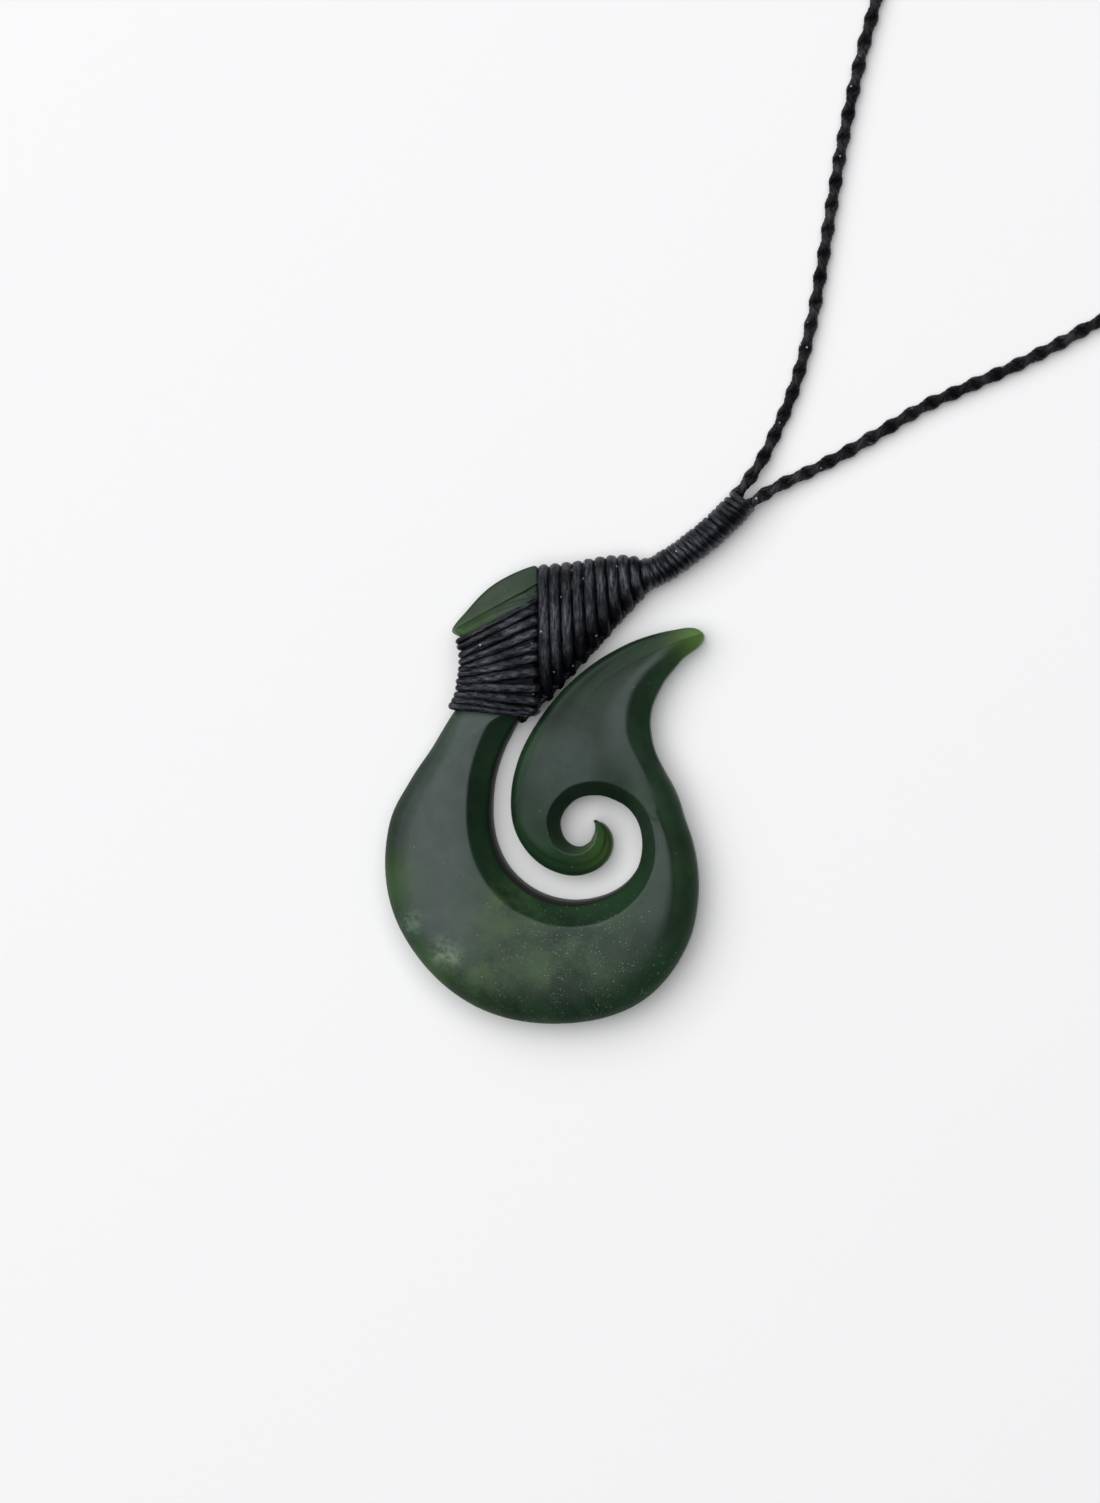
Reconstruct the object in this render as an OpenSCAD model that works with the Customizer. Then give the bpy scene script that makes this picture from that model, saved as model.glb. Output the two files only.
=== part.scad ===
// A carved stone hook pendant lashed to a plaited neck cord, lying on its flat back.
// +X is to the wearer's left, +Y runs from the bend up to the head, +Z is out of the stone's front.
// The origin is on the flat back, in the middle of the bend, straight below the spiral's eye.

/* [Stone hook] */
// Height of the stone, from the bottom of the bend to the top of the head
hook_height = 50; // [42:1:62]
// Width of the stone, from the bend's left side to the barb's tip
hook_width = 34.8; // [30:0.2:42]
// Thickness of the stone at the bend
hook_thickness = 6; // [5.4:0.1:8]
// Thickness of the stone at its neck and nose, under the lashings
neck_thickness = 3.4; // [2.6:0.1:4.2]
// Width of the bevel along the inner edge of the shank
bevel_width = 2.6; // [1.4:0.1:3]
// Rounding where the sides meet the flat back
back_round = 0.5; // [0.2:0.05:0.8]
// Rise of the front face in the middle of a section
dome_rise = 0.2; // [0:0.05:0.5]

/* [Lashings] */
// Thickness of the thread round the neck
lower_thread = 0.72; // [0.5:0.02:0.9]
// Number of turns round the neck
lower_turns = 11; // [8:1:14]
// Thickness of the thread over the nose
upper_thread = 1.2; // [0.9:0.05:1.5]
// Number of turns over the nose
upper_turns = 10; // [8:1:14]
// Length of the upper lashing, along X
upper_length = 11.8; // [10:0.2:15]
// How far the middle of its right end lies below the top of its left end
upper_drop = 1.2; // [0.2:0.1:2]
// How far its top edge arches above a straight line
upper_arch = 0.7; // [0:0.1:1.4]

/* [Neck whipping] */
// Length of the whipping round both legs of the cord
whipping_length = 12; // [8:0.5:18]
// Diameter of the whipping
whipping_diameter = 3.4; // [3:0.05:4.2]
// Number of turns in the whipping
whipping_turns = 18; // [12:1:24]
// Direction in which the whipping starts, in degrees up from +X
whipping_angle = 30; // [20:1:40]
// How far the whipping bends along its length, in degrees
whipping_bend = 19; // [4:1:26]

/* [Neck cord] */
// Length of the whole loop, with the whipping
loop_length = 681; // [640:1:720]
// Diameter of the plaited cord
cord_diameter = 1.65; // [1.2:0.05:1.9]
// Length of the whipped sleeve where the cord's two halves meet
join_length = 9; // [6:0.5:12]
// Number of turns round that sleeve
join_turns = 12; // [8:1:16]

/* [Fit] */
// Gap that is left between two pieces
fit_gap = 0.2; // [0.12:0.02:0.3]

/* [Hidden] */

stone_green = "#2f4a3c";
thread_black = "#17181b";
cord_black = "#1d1e22";

// Columns of the hook's table: where a section meets the inner and the outer edge, as a turn round the
// eye in degrees and a reach from it, how far the section is neck, its thickness and its bevel at the
// inner edge, and the same two at the outer edge
IN_TURN = 0;
IN_REACH = 1;
OUT_TURN = 2;
OUT_REACH = 3;
NECK = 4;
IN_THICK = 5;
IN_BEVEL = 6;
OUT_THICK = 7;
OUT_BEVEL = 8;

// Reaches are shares of the form's height, thicknesses of hook_thickness and bevels of bevel_width
HOOK = [
    // Nose, head and crest
    [92.0, 0.527, 91.8, 0.556, 1.0, 0.85, 0.12, 0.85, 0.12],
    [99.4, 0.528, 99.1, 0.572, 1.0, 0.85, 0.12, 0.85, 0.15],
    [101.0, 0.528, 100.3, 0.597, 0.7, 0.85, 0.12, 0.85, 0.12],
    [101.4, 0.528, 109.5, 0.581, 0.5, 0.85, 0.12, 0.85, 0.85],
    [101.7, 0.527, 117.0, 0.553, 0.5, 0.85, 0.12, 0.85, 0.60],
    [101.9, 0.525, 122.8, 0.527, 0.7, 0.85, 0.12, 0.80, 0.15],
    // Neck, with its notch
    [102.3, 0.519, 121.2, 0.492, 1.0, 0.85, 0.12, 0.85, 0.15],
    [106.0, 0.410, 125.5, 0.437, 1.0, 0.85, 0.15, 0.85, 0.20],
    [112.7, 0.305, 131.5, 0.399, 1.0, 0.85, 0.15, 0.85, 0.25],
    // Shank
    [118.9, 0.289, 138.0, 0.387, 0.7, 0.90, 0.55, 0.90, 0.55],
    [128.0, 0.266, 149.0, 0.380, 0.0, 0.92, 1.00, 0.92, 0.80],
    [145.0, 0.234, 163.0, 0.396, 0.0, 0.94, 1.00, 0.93, 0.95],
    [166.0, 0.206, 178.0, 0.425, 0.0, 0.96, 1.00, 0.94, 1.00],
    // Bend
    [203.0, 0.178, 207.0, 0.449, 0.0, 1.00, 1.08, 0.95, 1.05],
    [234.0, 0.157, 236.0, 0.443, 0.0, 1.00, 1.12, 0.93, 1.10],
    [262.0, 0.144, 263.0, 0.415, 0.0, 1.00, 1.12, 0.92, 1.10],
    [288.0, 0.139, 289.0, 0.386, 0.0, 1.00, 1.05, 0.93, 1.05],
    [312.0, 0.139, 312.0, 0.334, 0.0, 0.99, 0.85, 0.94, 1.00],
    [334.0, 0.137, 333.0, 0.282, 0.0, 0.97, 0.68, 0.94, 0.95],
    [354.0, 0.130, 354.0, 0.243, 0.0, 0.95, 0.60, 0.93, 0.95],
    [373.0, 0.123, 374.0, 0.223, 0.0, 0.93, 0.56, 0.92, 0.95],
    [391.0, 0.114, 393.0, 0.224, 0.0, 0.92, 0.56, 0.91, 1.02],
    // Barb
    [407.0, 0.103, 408.0, 0.238, 0.0, 0.92, 0.58, 0.90, 1.15],
    [421.0, 0.096, 417.3, 0.272, 0.0, 0.92, 0.60, 0.88, 1.50],
    [433.0, 0.090, 421.8, 0.320, 0.0, 0.92, 0.60, 0.85, 1.35],
    [443.0, 0.086, 422.3, 0.370, 0.0, 0.92, 0.58, 0.79, 0.95],
    [452.0, 0.083, 421.2, 0.420, 0.0, 0.92, 0.56, 0.71, 0.58],
    [460.0, 0.080, 420.0, 0.468, 0.0, 0.92, 0.55, 0.65, 0.22],
    [467.0, 0.077, 419.0, 0.511, 0.0, 0.92, 0.54, 0.60, 0.08],
    [473.0, 0.074, 424.0, 0.499, 0.0, 0.92, 0.53, 0.64, 0.20],
    [480.0, 0.071, 432.5, 0.453, 0.0, 0.92, 0.52, 0.70, 0.33],
    [488.0, 0.068, 442.5, 0.396, 0.0, 0.92, 0.51, 0.77, 0.42],
    [498.0, 0.064, 455.0, 0.332, 0.0, 0.92, 0.50, 0.83, 0.48],
    [511.0, 0.059, 470.0, 0.271, 0.0, 0.92, 0.48, 0.87, 0.52],
    // Spiral and its tip
    [526.0, 0.052, 488.0, 0.222, 0.0, 0.91, 0.46, 0.88, 0.52],
    [544.0, 0.045, 509.0, 0.182, 0.0, 0.91, 0.44, 0.88, 0.50],
    [566.0, 0.038, 532.0, 0.153, 0.0, 0.91, 0.40, 0.88, 0.48],
    [594.0, 0.031, 559.0, 0.125, 0.0, 0.90, 0.34, 0.87, 0.46],
    [626.0, 0.025, 590.0, 0.103, 0.0, 0.89, 0.28, 0.85, 0.43],
    [662.0, 0.021, 625.0, 0.089, 0.0, 0.87, 0.22, 0.83, 0.39],
    [700.0, 0.021, 662.0, 0.079, 0.0, 0.84, 0.16, 0.80, 0.35],
    [735.0, 0.026, 698.0, 0.069, 0.0, 0.80, 0.11, 0.76, 0.29],
    [761.0, 0.034, 731.0, 0.057, 0.0, 0.74, 0.08, 0.71, 0.17],
    [775.0, 0.038, 757.0, 0.046, 0.0, 0.66, 0.05, 0.64, 0.07]
];
// The leaf is too bent for straight sections. This is where they bend, and how thick it is there, from
// this row of the hook's table on.
LEAF_ROW = 21;
TURN = 0;
REACH = 1;
THICK = 2;
LEAF = [
    [392.0, 0.169, 0.92], [410.0, 0.158, 0.91], [426.5, 0.176, 0.90], [439.8, 0.225, 0.89],
    [445.0, 0.273, 0.87], [447.7, 0.292, 0.86], [449.2, 0.292, 0.86], [451.2, 0.289, 0.85],
    [453.2, 0.285, 0.85], [455.8, 0.279, 0.85], [458.9, 0.271, 0.86], [464.0, 0.255, 0.86],
    [471.9, 0.230, 0.88], [486.3, 0.186, 0.89], [513.0, 0.128, 0.90], [549.0, 0.096, 0.91]
];
// The crest's sections, up to this row, bend nearer to their inner end
CREST_ROWS = 5;
CREST_BEND = 0.25;
// How many times the shorter step a slope may reach
SLOPE_LIMIT = 3;
// Sections cut between two rows of the table
SECTION_STEPS = 3;
// Share of a section's thickness that stands upright below the inner bevel, and at the outer edge
INNER_WALL = 0.55;
OUTER_WALL = 0.66;
// How deep the inner bevel is hollowed, as a share of its width
BEVEL_HOLLOW = 0.05;
// Degrees between the points of the outer edge's rounding
ROUND_STEP = 30;
// How far below the eye the origin lies, as a share of the form's height
REST_REACH = 0.278;

// Row of the table where the nose starts, and the sections where the lower lashing starts and ends
NOSE_ROW = 1;
LASH_FIRST = 18;
LASH_LAST = 26;
// How far the upper lashing's left end stops above the lower lashing's last turn
upper_short = 0.5;

// Points in one corner of a lashing's section, rings in one turn, and how deep the grooves are cut
CORNER_POINTS = 5;
TURN_RINGS = 4;
GROOVE = 0.3;
// Corner radius of a lashing's section, as a share of its smaller side
LOOP_CORNER = 0.42;
// Fineness of what is round
ROUND_SIDES = 48;
CORD_SIDES = 8;
WHIP_SIDES = 14;
// Rings in each half of the cord
LEG_RINGS = 40;

// Routes of the cord's two halves: millimetres from the middle of the whipping's end face in a loop of
// this length, and how high the cord is lifted off the surface it lies on
ROUTE_LOOP = 681;
ACROSS = 0;
ALONG = 1;
LIFT = 2;
LEFT_ROUTE = [
    [-0.45, 0.9, 0.9], [0.2, 1.7, 0.8], [1, 2.8, 0.6], [2.1, 4.6, 0.3], [3.5, 7.4, 0], [5.5, 12.2, 0],
    [7.1, 18, 0], [8.3, 24, 0], [9.6, 32, 0], [10.8, 39, 0], [12.5, 47, 0], [14.6, 55, 0], [19, 70, 0],
    [24, 86, 0], [30, 104, 0], [36, 122, 0], [42, 140, 0], [48, 158.5, 0], [54, 177, 0], [61, 194, 0],
    [71.5, 209.5, 0], [85.5, 221.5, 0], [102, 230, 0], [119, 234, 0], [134.5, 233, 0],
    [147, 229, 0.1], [158.4, 223.1, 0.2], [166.5, 217.2, 0.5], [171.7, 212.5, 0.9], [176.4, 207.8, 0.9]
];
RIGHT_ROUTE = [
    [0.9, -0.35, 0.9], [2, 0.4, 0.8], [3.6, 1.4, 0.5], [5.6, 2.4, 0.2], [8, 3.5, 0], [11.4, 5.3, 0],
    [15.5, 7.7, 0], [19.8, 10.2, 0], [24.5, 12.3, 0], [29.5, 14.5, 0], [34.5, 17, 0], [39.5, 19.7, 0],
    [53, 26, 0], [69, 33, 0], [86, 41, 0], [103, 49, 0], [120, 57, 0], [137, 65, 0], [154, 74.5, 0],
    [169, 85.5, 0], [181.5, 98, 0], [191, 112, 0], [197.5, 128, 0], [200, 145, 0], [199.5, 162, 0],
    [196.2, 177.5, 0.1], [191.6, 189, 0.2], [186.3, 197.6, 0.5], [181.5, 202.7, 0.9], [176.8, 207.4, 0.9]
];

stations = (len(HOOK) - 1) * SECTION_STEPS;
eye = [0, REST_REACH * hook_height];
neck_back = upper_thread + fit_gap;
neck_front = neck_back + neck_thickness;

function mix(a, b, s) = a + (b - a) * s;
function unit(v) = v / norm(v);
function flat(p) = [p.x, p.y];
function along(angle) = [cos(angle), sin(angle), 0];
// The slope at a row, flat at a column's peaks and limited beside a short step, so nothing overshoots
function slope(before, row, after) =
    [for (i = [0:len(row) - 1])
        let (a = row[i] - before[i], b = after[i] - row[i])
        a * b <= 0 ? 0 : sign(a) * min(abs(a + b) / 2, SLOPE_LIMIT * abs(a), SLOPE_LIMIT * abs(b))];
// A table between its rows, on a smooth curve through them
function at_row(rows, t) =
    let (last = len(rows) - 1, i = max(0, min(floor(t), last - 1)), u = t - i,
         row = rows[i], next = rows[i + 1],
         before = i > 0 ? rows[i - 1] : 2 * row - next, after = i + 1 < last ? rows[i + 2] : 2 * next - row,
         leave = slope(before, row, next), arrive = slope(row, next, after))
    row + (next - row) * u * u * (3 - 2 * u) + leave * u * (1 - u) * (1 - u) - arrive * u * u * (1 - u);

// The hook's two edges in plan, first as the table has them and then at the hook's real size
function raw_edge(t, turn, reach) =
    let (row = at_row(HOOK, t)) row[reach] * [cos(row[turn]), sin(row[turn])];
raw_outline = [for (k = [0:stations]) raw_edge(k / SECTION_STEPS, OUT_TURN, OUT_REACH)];
raw_x = [for (p = raw_outline) p.x];
raw_y = [for (p = raw_outline) p.y];
scale_x = hook_width / (max(raw_x) - min(raw_x));
scale_y = hook_height / (max(raw_y) - min(raw_y));
function edge(t, turn, reach) =
    let (p = raw_edge(t, turn, reach)) eye + [p.x * scale_x, p.y * scale_y];
function inner_edge(t) = edge(t, IN_TURN, IN_REACH);
function outer_edge(t) = edge(t, OUT_TURN, OUT_REACH);
// Where a section bends on its way across. Sections fan out from there, so that no two of them cross.
function middle(t, row) =
    let (leaf = t - LEAF_ROW, inside = leaf > 0 && leaf < len(LEAF) - 1, bend = at_row(LEAF, leaf),
         across = min(0.5, CREST_BEND * max(1, 1 + t - CREST_ROWS)),
         turn = inside ? bend[TURN] : mix(row[IN_TURN], row[OUT_TURN], across),
         reach = inside ? bend[REACH] : mix(row[IN_REACH], row[OUT_REACH], across),
         front = inside ? bend[THICK] * hook_thickness
             : (front_of(row, IN_THICK) + front_of(row, OUT_THICK)) / 2)
    [eye.x + reach * cos(turn) * scale_x, eye.y + reach * sin(turn) * scale_y, front + dome_of(row)];

// Normals of the two edges in plan, both pointing into the stone
NUDGE = 0.02;
function inner_normal(t) =
    let (d = unit(inner_edge(t + NUDGE) - inner_edge(t - NUDGE))) [d.y, -d.x];
function outer_normal(t) =
    let (d = unit(outer_edge(t + NUDGE) - outer_edge(t - NUDGE))) [-d.y, d.x];

function back_of(row) = row[NECK] * neck_back;
function front_of(row, thick) = mix(row[thick] * hook_thickness, neck_front, row[NECK]);
function dome_of(row) = dome_rise * (1 - row[NECK]);
function lift(p, z) = [p.x, p.y, z];

// One section of the stone, from its back up over the inner bevel and down the outer edge
function section(t) =
    let (
        row = at_row(HOOK, t),
        a = inner_edge(t), na = inner_normal(t), wide_a = row[IN_BEVEL] * bevel_width,
        b = outer_edge(t), nb = outer_normal(t), wide_b = row[OUT_BEVEL] * bevel_width,
        back = back_of(row), front_a = front_of(row, IN_THICK), front_b = front_of(row, OUT_THICK),
        foot = mix(back, front_a, INNER_WALL), drop = (front_b - back) * (1 - OUTER_WALL),
        round_a = min(back_round, wide_a), round_b = min(back_round, wide_b)
    )
    concat(
        [lift(a + na * round_a, back), lift(a, back + round_a), lift(a, foot),
         lift(a + na * wide_a / 2, mix(foot, front_a, 0.5) - BEVEL_HOLLOW * wide_a),
         lift(a + na * wide_a, front_a),
         middle(t, row)],
        [for (angle = [0:ROUND_STEP:90])
            lift(b + nb * wide_b * (1 - sin(angle)), front_b - drop * (1 - cos(angle)))],
        [lift(b, back + round_b), lift(b + nb * round_b, back), lift(middle(t, row), back)]
    );

// A closed solid through rings that have the same number of points. Its two ends are capped, or the
// last ring is joined to the first.
module loft(rings, joined = false) {
    sides = len(rings[0]);
    count = len(rings);
    spans = joined ? count : count - 1;
    walls = [for (i = [0:spans - 1], k = [0:sides - 1])
        let (a = i * sides + k, b = i * sides + (k + 1) % sides,
             c = ((i + 1) % count) * sides + k, d = ((i + 1) % count) * sides + (k + 1) % sides)
        each [[a, c, b], [b, c, d]]];
    last = (count - 1) * sides;
    caps = joined ? [] : [for (k = [1:sides - 2]) each [[0, k, k + 1], [last, last + k + 1, last + k]]];
    polyhedron(points = [for (ring = rings) each ring], faces = concat(walls, caps), convexity = 8);
}

// A rectangle with round corners, as points from the middle
function round_box(wide, tall, corner) = [
    for (quarter = [0:3], k = [0:CORNER_POINTS - 1])
    let (angle = 90 * quarter + 90 * k / (CORNER_POINTS - 1),
         side_x = (quarter == 0 || quarter == 3) ? 1 : -1,
         side_y = quarter < 2 ? 1 : -1)
    [side_x * (wide / 2 - corner) + corner * cos(angle),
     side_y * (tall / 2 - corner) + corner * sin(angle)]
];
function ribbed(share, turns) = GROOVE * (1 - abs(sin(180 * turns * share)));

// One ring of the lower lashing: it goes round the stone's own section, this far off it
function neck_ring(t, off) =
    let (
        row = at_row(HOOK, t), a = inner_edge(t), b = outer_edge(t), side = unit(a - b),
        back = back_of(row), front = front_of(row, IN_THICK) + dome_of(row),
        wide = norm(a - b) + 2 * off, tall = front - back + 2 * off,
        middle = (a + b) / 2, height = (back + front) / 2
    )
    [for (p = round_box(wide, tall, LOOP_CORNER * off + 0.1)) lift(middle + side * p.x, height + p.y)];

lower_steps = lower_turns * TURN_RINGS;
lower_wall = fit_gap + lower_thread;
function lower_at(share) = mix(LASH_FIRST, LASH_LAST, share) / SECTION_STEPS;
lower_outside = [for (k = [0:lower_steps])
    neck_ring(lower_at(k / lower_steps),
              lower_wall - ribbed(k / lower_steps, lower_turns) * lower_thread)];
lower_inside = [for (k = [LASH_LAST:-1:LASH_FIRST]) neck_ring(k / SECTION_STEPS, fit_gap)];

// The upper lashing starts beside the lower one, over the nose
upper_left = max([for (ring = lower_outside, p = ring) p.x]) + fit_gap;
upper_right = upper_left + upper_length;
nose_top = max(outer_edge(0).y, outer_edge(NOSE_ROW).y) + fit_gap;
nose_foot = min(inner_edge(0).y, inner_edge(NOSE_ROW).y) - fit_gap;
nose_end = max(outer_edge(0).x, inner_edge(0).x) + fit_gap;
left_top = nose_top + upper_thread;
left_foot = inner_edge(LASH_LAST / SECTION_STEPS).y + upper_short;
left_deep = neck_front + fit_gap + upper_thread;
right_middle = left_top - upper_drop;
function upper_ring(share) =
    let (
        groove = ribbed(share, upper_turns) * upper_thread,
        arch = upper_arch * sin(180 * share * share),
        top = mix(left_top, right_middle + whipping_diameter / 2, share) + arch,
        foot = mix(left_foot, right_middle - whipping_diameter / 2, share),
        deep = mix(left_deep, whipping_diameter, share),
        wide = top - foot - 2 * groove, tall = deep - 2 * groove
    )
    [for (p = round_box(wide, tall, LOOP_CORNER * min(wide, tall)))
        [mix(upper_left, upper_right, share), (top + foot) / 2 + p.x, deep / 2 + p.y]];
function socket_ring(x) =
    [for (p = round_box(nose_top - nose_foot, neck_thickness + 2 * fit_gap, fit_gap))
        [x, (nose_top + nose_foot) / 2 + p.x, neck_back + neck_thickness / 2 + p.y]];
upper_steps = upper_turns * TURN_RINGS;

// The whipping starts where its tilted end face just clears the upper lashing, and runs along an arc
whipping_radius = whipping_diameter / 2;
whipping_off = fit_gap + whipping_radius * sin(whipping_angle);
whipping_start = [upper_right + whipping_off, right_middle + whipping_off * tan(whipping_angle)];
whipping_arc = whipping_length * 180 / (PI * whipping_bend);
function whipping_heading(share) = whipping_angle + whipping_bend * share;
function whipping_point(share) =
    let (angle = whipping_heading(share))
    whipping_start + whipping_arc * [sin(angle) - sin(whipping_angle), cos(whipping_angle) - cos(angle)];
whipping_end = whipping_point(1);
whipping_steps = whipping_turns * TURN_RINGS;
function whipping_ring(share) =
    let (p = whipping_point(share), angle = whipping_heading(share) + 90,
         radius = whipping_radius - ribbed(share, whipping_turns) * lower_thread)
    [for (k = [0:WHIP_SIDES - 1])
        let (turn = 360 * k / WHIP_SIDES)
        [p.x + radius * cos(turn) * cos(angle), p.y + radius * cos(turn) * sin(angle),
         whipping_radius + radius * sin(turn)]];

cord_radius = cord_diameter / 2;
loop_scale = loop_length / ROUTE_LOOP;
function cord_point(route, t) =
    let (p = at_row(route, t))
    [whipping_end.x + p[ACROSS] * loop_scale, whipping_end.y + p[ALONG] * loop_scale,
     cord_radius + p[LIFT]];
function cord_heading(route, t) =
    unit(cord_point(route, t + NUDGE) - cord_point(route, t - NUDGE));

// One ring of a tube along a route
function cord_ring(route, t) =
    let (p = cord_point(route, t), d = cord_heading(route, t), side = unit([-d.y, d.x, 0]),
         up = cross(d, side))
    [for (k = [0:CORD_SIDES - 1])
        let (angle = 360 * (k + 0.5) / CORD_SIDES)
        p + cord_radius * (cos(angle) * side + sin(angle) * up)];

// The sleeve lies on the line from one route's end to the other's
left_end = cord_point(LEFT_ROUTE, len(LEFT_ROUTE) - 1);
right_end = cord_point(RIGHT_ROUTE, len(RIGHT_ROUTE) - 1);
join_middle = (left_end + right_end) / 2;
join_angle = atan2(right_end.y - left_end.y, right_end.x - left_end.x);
join_bore = cord_radius + fit_gap;
join_steps = join_turns * TURN_RINGS;
join_rim = [for (k = [0:join_steps])
    [join_bore + lower_thread * (1 - ribbed(k / join_steps, join_turns)), join_length * k / join_steps]];

module cord_half(route) {
    spans = len(route) - 1;
    color(cord_black)
    loft([for (k = [0:LEG_RINGS - 1]) cord_ring(route, spans * k / (LEG_RINGS - 1))]);
}

module stone_hook() {
    color(stone_green)
    loft([for (k = [0:stations]) section(k / SECTION_STEPS)]);
}

module lower_lashing() {
    color(thread_black)
    loft(concat(lower_outside, lower_inside), joined = true);
}

module upper_lashing() {
    color(thread_black)
    loft(concat([socket_ring(nose_end), socket_ring(upper_left)],
                [for (k = [0:upper_steps]) upper_ring(k / upper_steps)]));
}

module neck_whipping() {
    color(thread_black)
    loft([for (k = [0:whipping_steps]) whipping_ring(k / whipping_steps)]);
}

module neck_cord_left() {
    cord_half(LEFT_ROUTE);
}

module neck_cord_right() {
    cord_half(RIGHT_ROUTE);
}

module cord_join() {
    color(thread_black)
    translate(join_middle) rotate([0, 90, join_angle]) translate([0, 0, -join_length / 2])
    rotate_extrude($fn = ROUND_SIDES)
    polygon(concat([[join_bore, 0]], join_rim, [[join_bore, join_length]]));
}

stone_hook();
lower_lashing();
upper_lashing();
neck_whipping();
neck_cord_left();
neck_cord_right();
cord_join();
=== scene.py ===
"""A carved greenstone hook, lashed with waxed thread to a plaited neck cord, dressed on its CAD frame.

Lengths in this file are millimetres in the frame's own axes, and turn to metres where a mesh is made.
"""

from __future__ import annotations

import logging
import math
from collections.abc import Sequence
from dataclasses import dataclass
from enum import Enum, IntEnum

import bpy
import numpy as np
from mathutils import Matrix, Vector, noise

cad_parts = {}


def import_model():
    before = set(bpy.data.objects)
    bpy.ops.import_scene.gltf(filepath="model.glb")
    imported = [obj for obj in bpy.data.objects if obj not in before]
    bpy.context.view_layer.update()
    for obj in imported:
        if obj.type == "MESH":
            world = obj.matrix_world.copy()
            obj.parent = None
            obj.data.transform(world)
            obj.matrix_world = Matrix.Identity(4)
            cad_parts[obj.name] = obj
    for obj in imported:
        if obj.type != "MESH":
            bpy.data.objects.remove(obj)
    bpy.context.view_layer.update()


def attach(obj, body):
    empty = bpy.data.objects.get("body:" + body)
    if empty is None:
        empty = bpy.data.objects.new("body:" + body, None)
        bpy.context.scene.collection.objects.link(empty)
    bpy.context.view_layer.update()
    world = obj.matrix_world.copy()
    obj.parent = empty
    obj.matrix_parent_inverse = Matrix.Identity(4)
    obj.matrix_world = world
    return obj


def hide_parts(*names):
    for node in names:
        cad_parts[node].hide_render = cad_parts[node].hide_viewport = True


LOG = logging.getLogger("pendant")
MM = 0.001
BODY = "root"

Array = np.ndarray
Material = bpy.types.Material
Tree = bpy.types.NodeTree
Node = bpy.types.Node


# Tables and curves


class Cut(IntEnum):
    """Columns of the hook's table, as in the part's source."""

    IN_TURN = 0
    IN_REACH = 1
    OUT_TURN = 2
    OUT_REACH = 3
    NECK = 4
    IN_THICK = 5
    IN_BEVEL = 6
    OUT_THICK = 7
    OUT_BEVEL = 8


class Bend(IntEnum):
    """Columns of the leaf's table, as in the part's source."""

    TURN = 0
    REACH = 1
    THICK = 2


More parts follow.
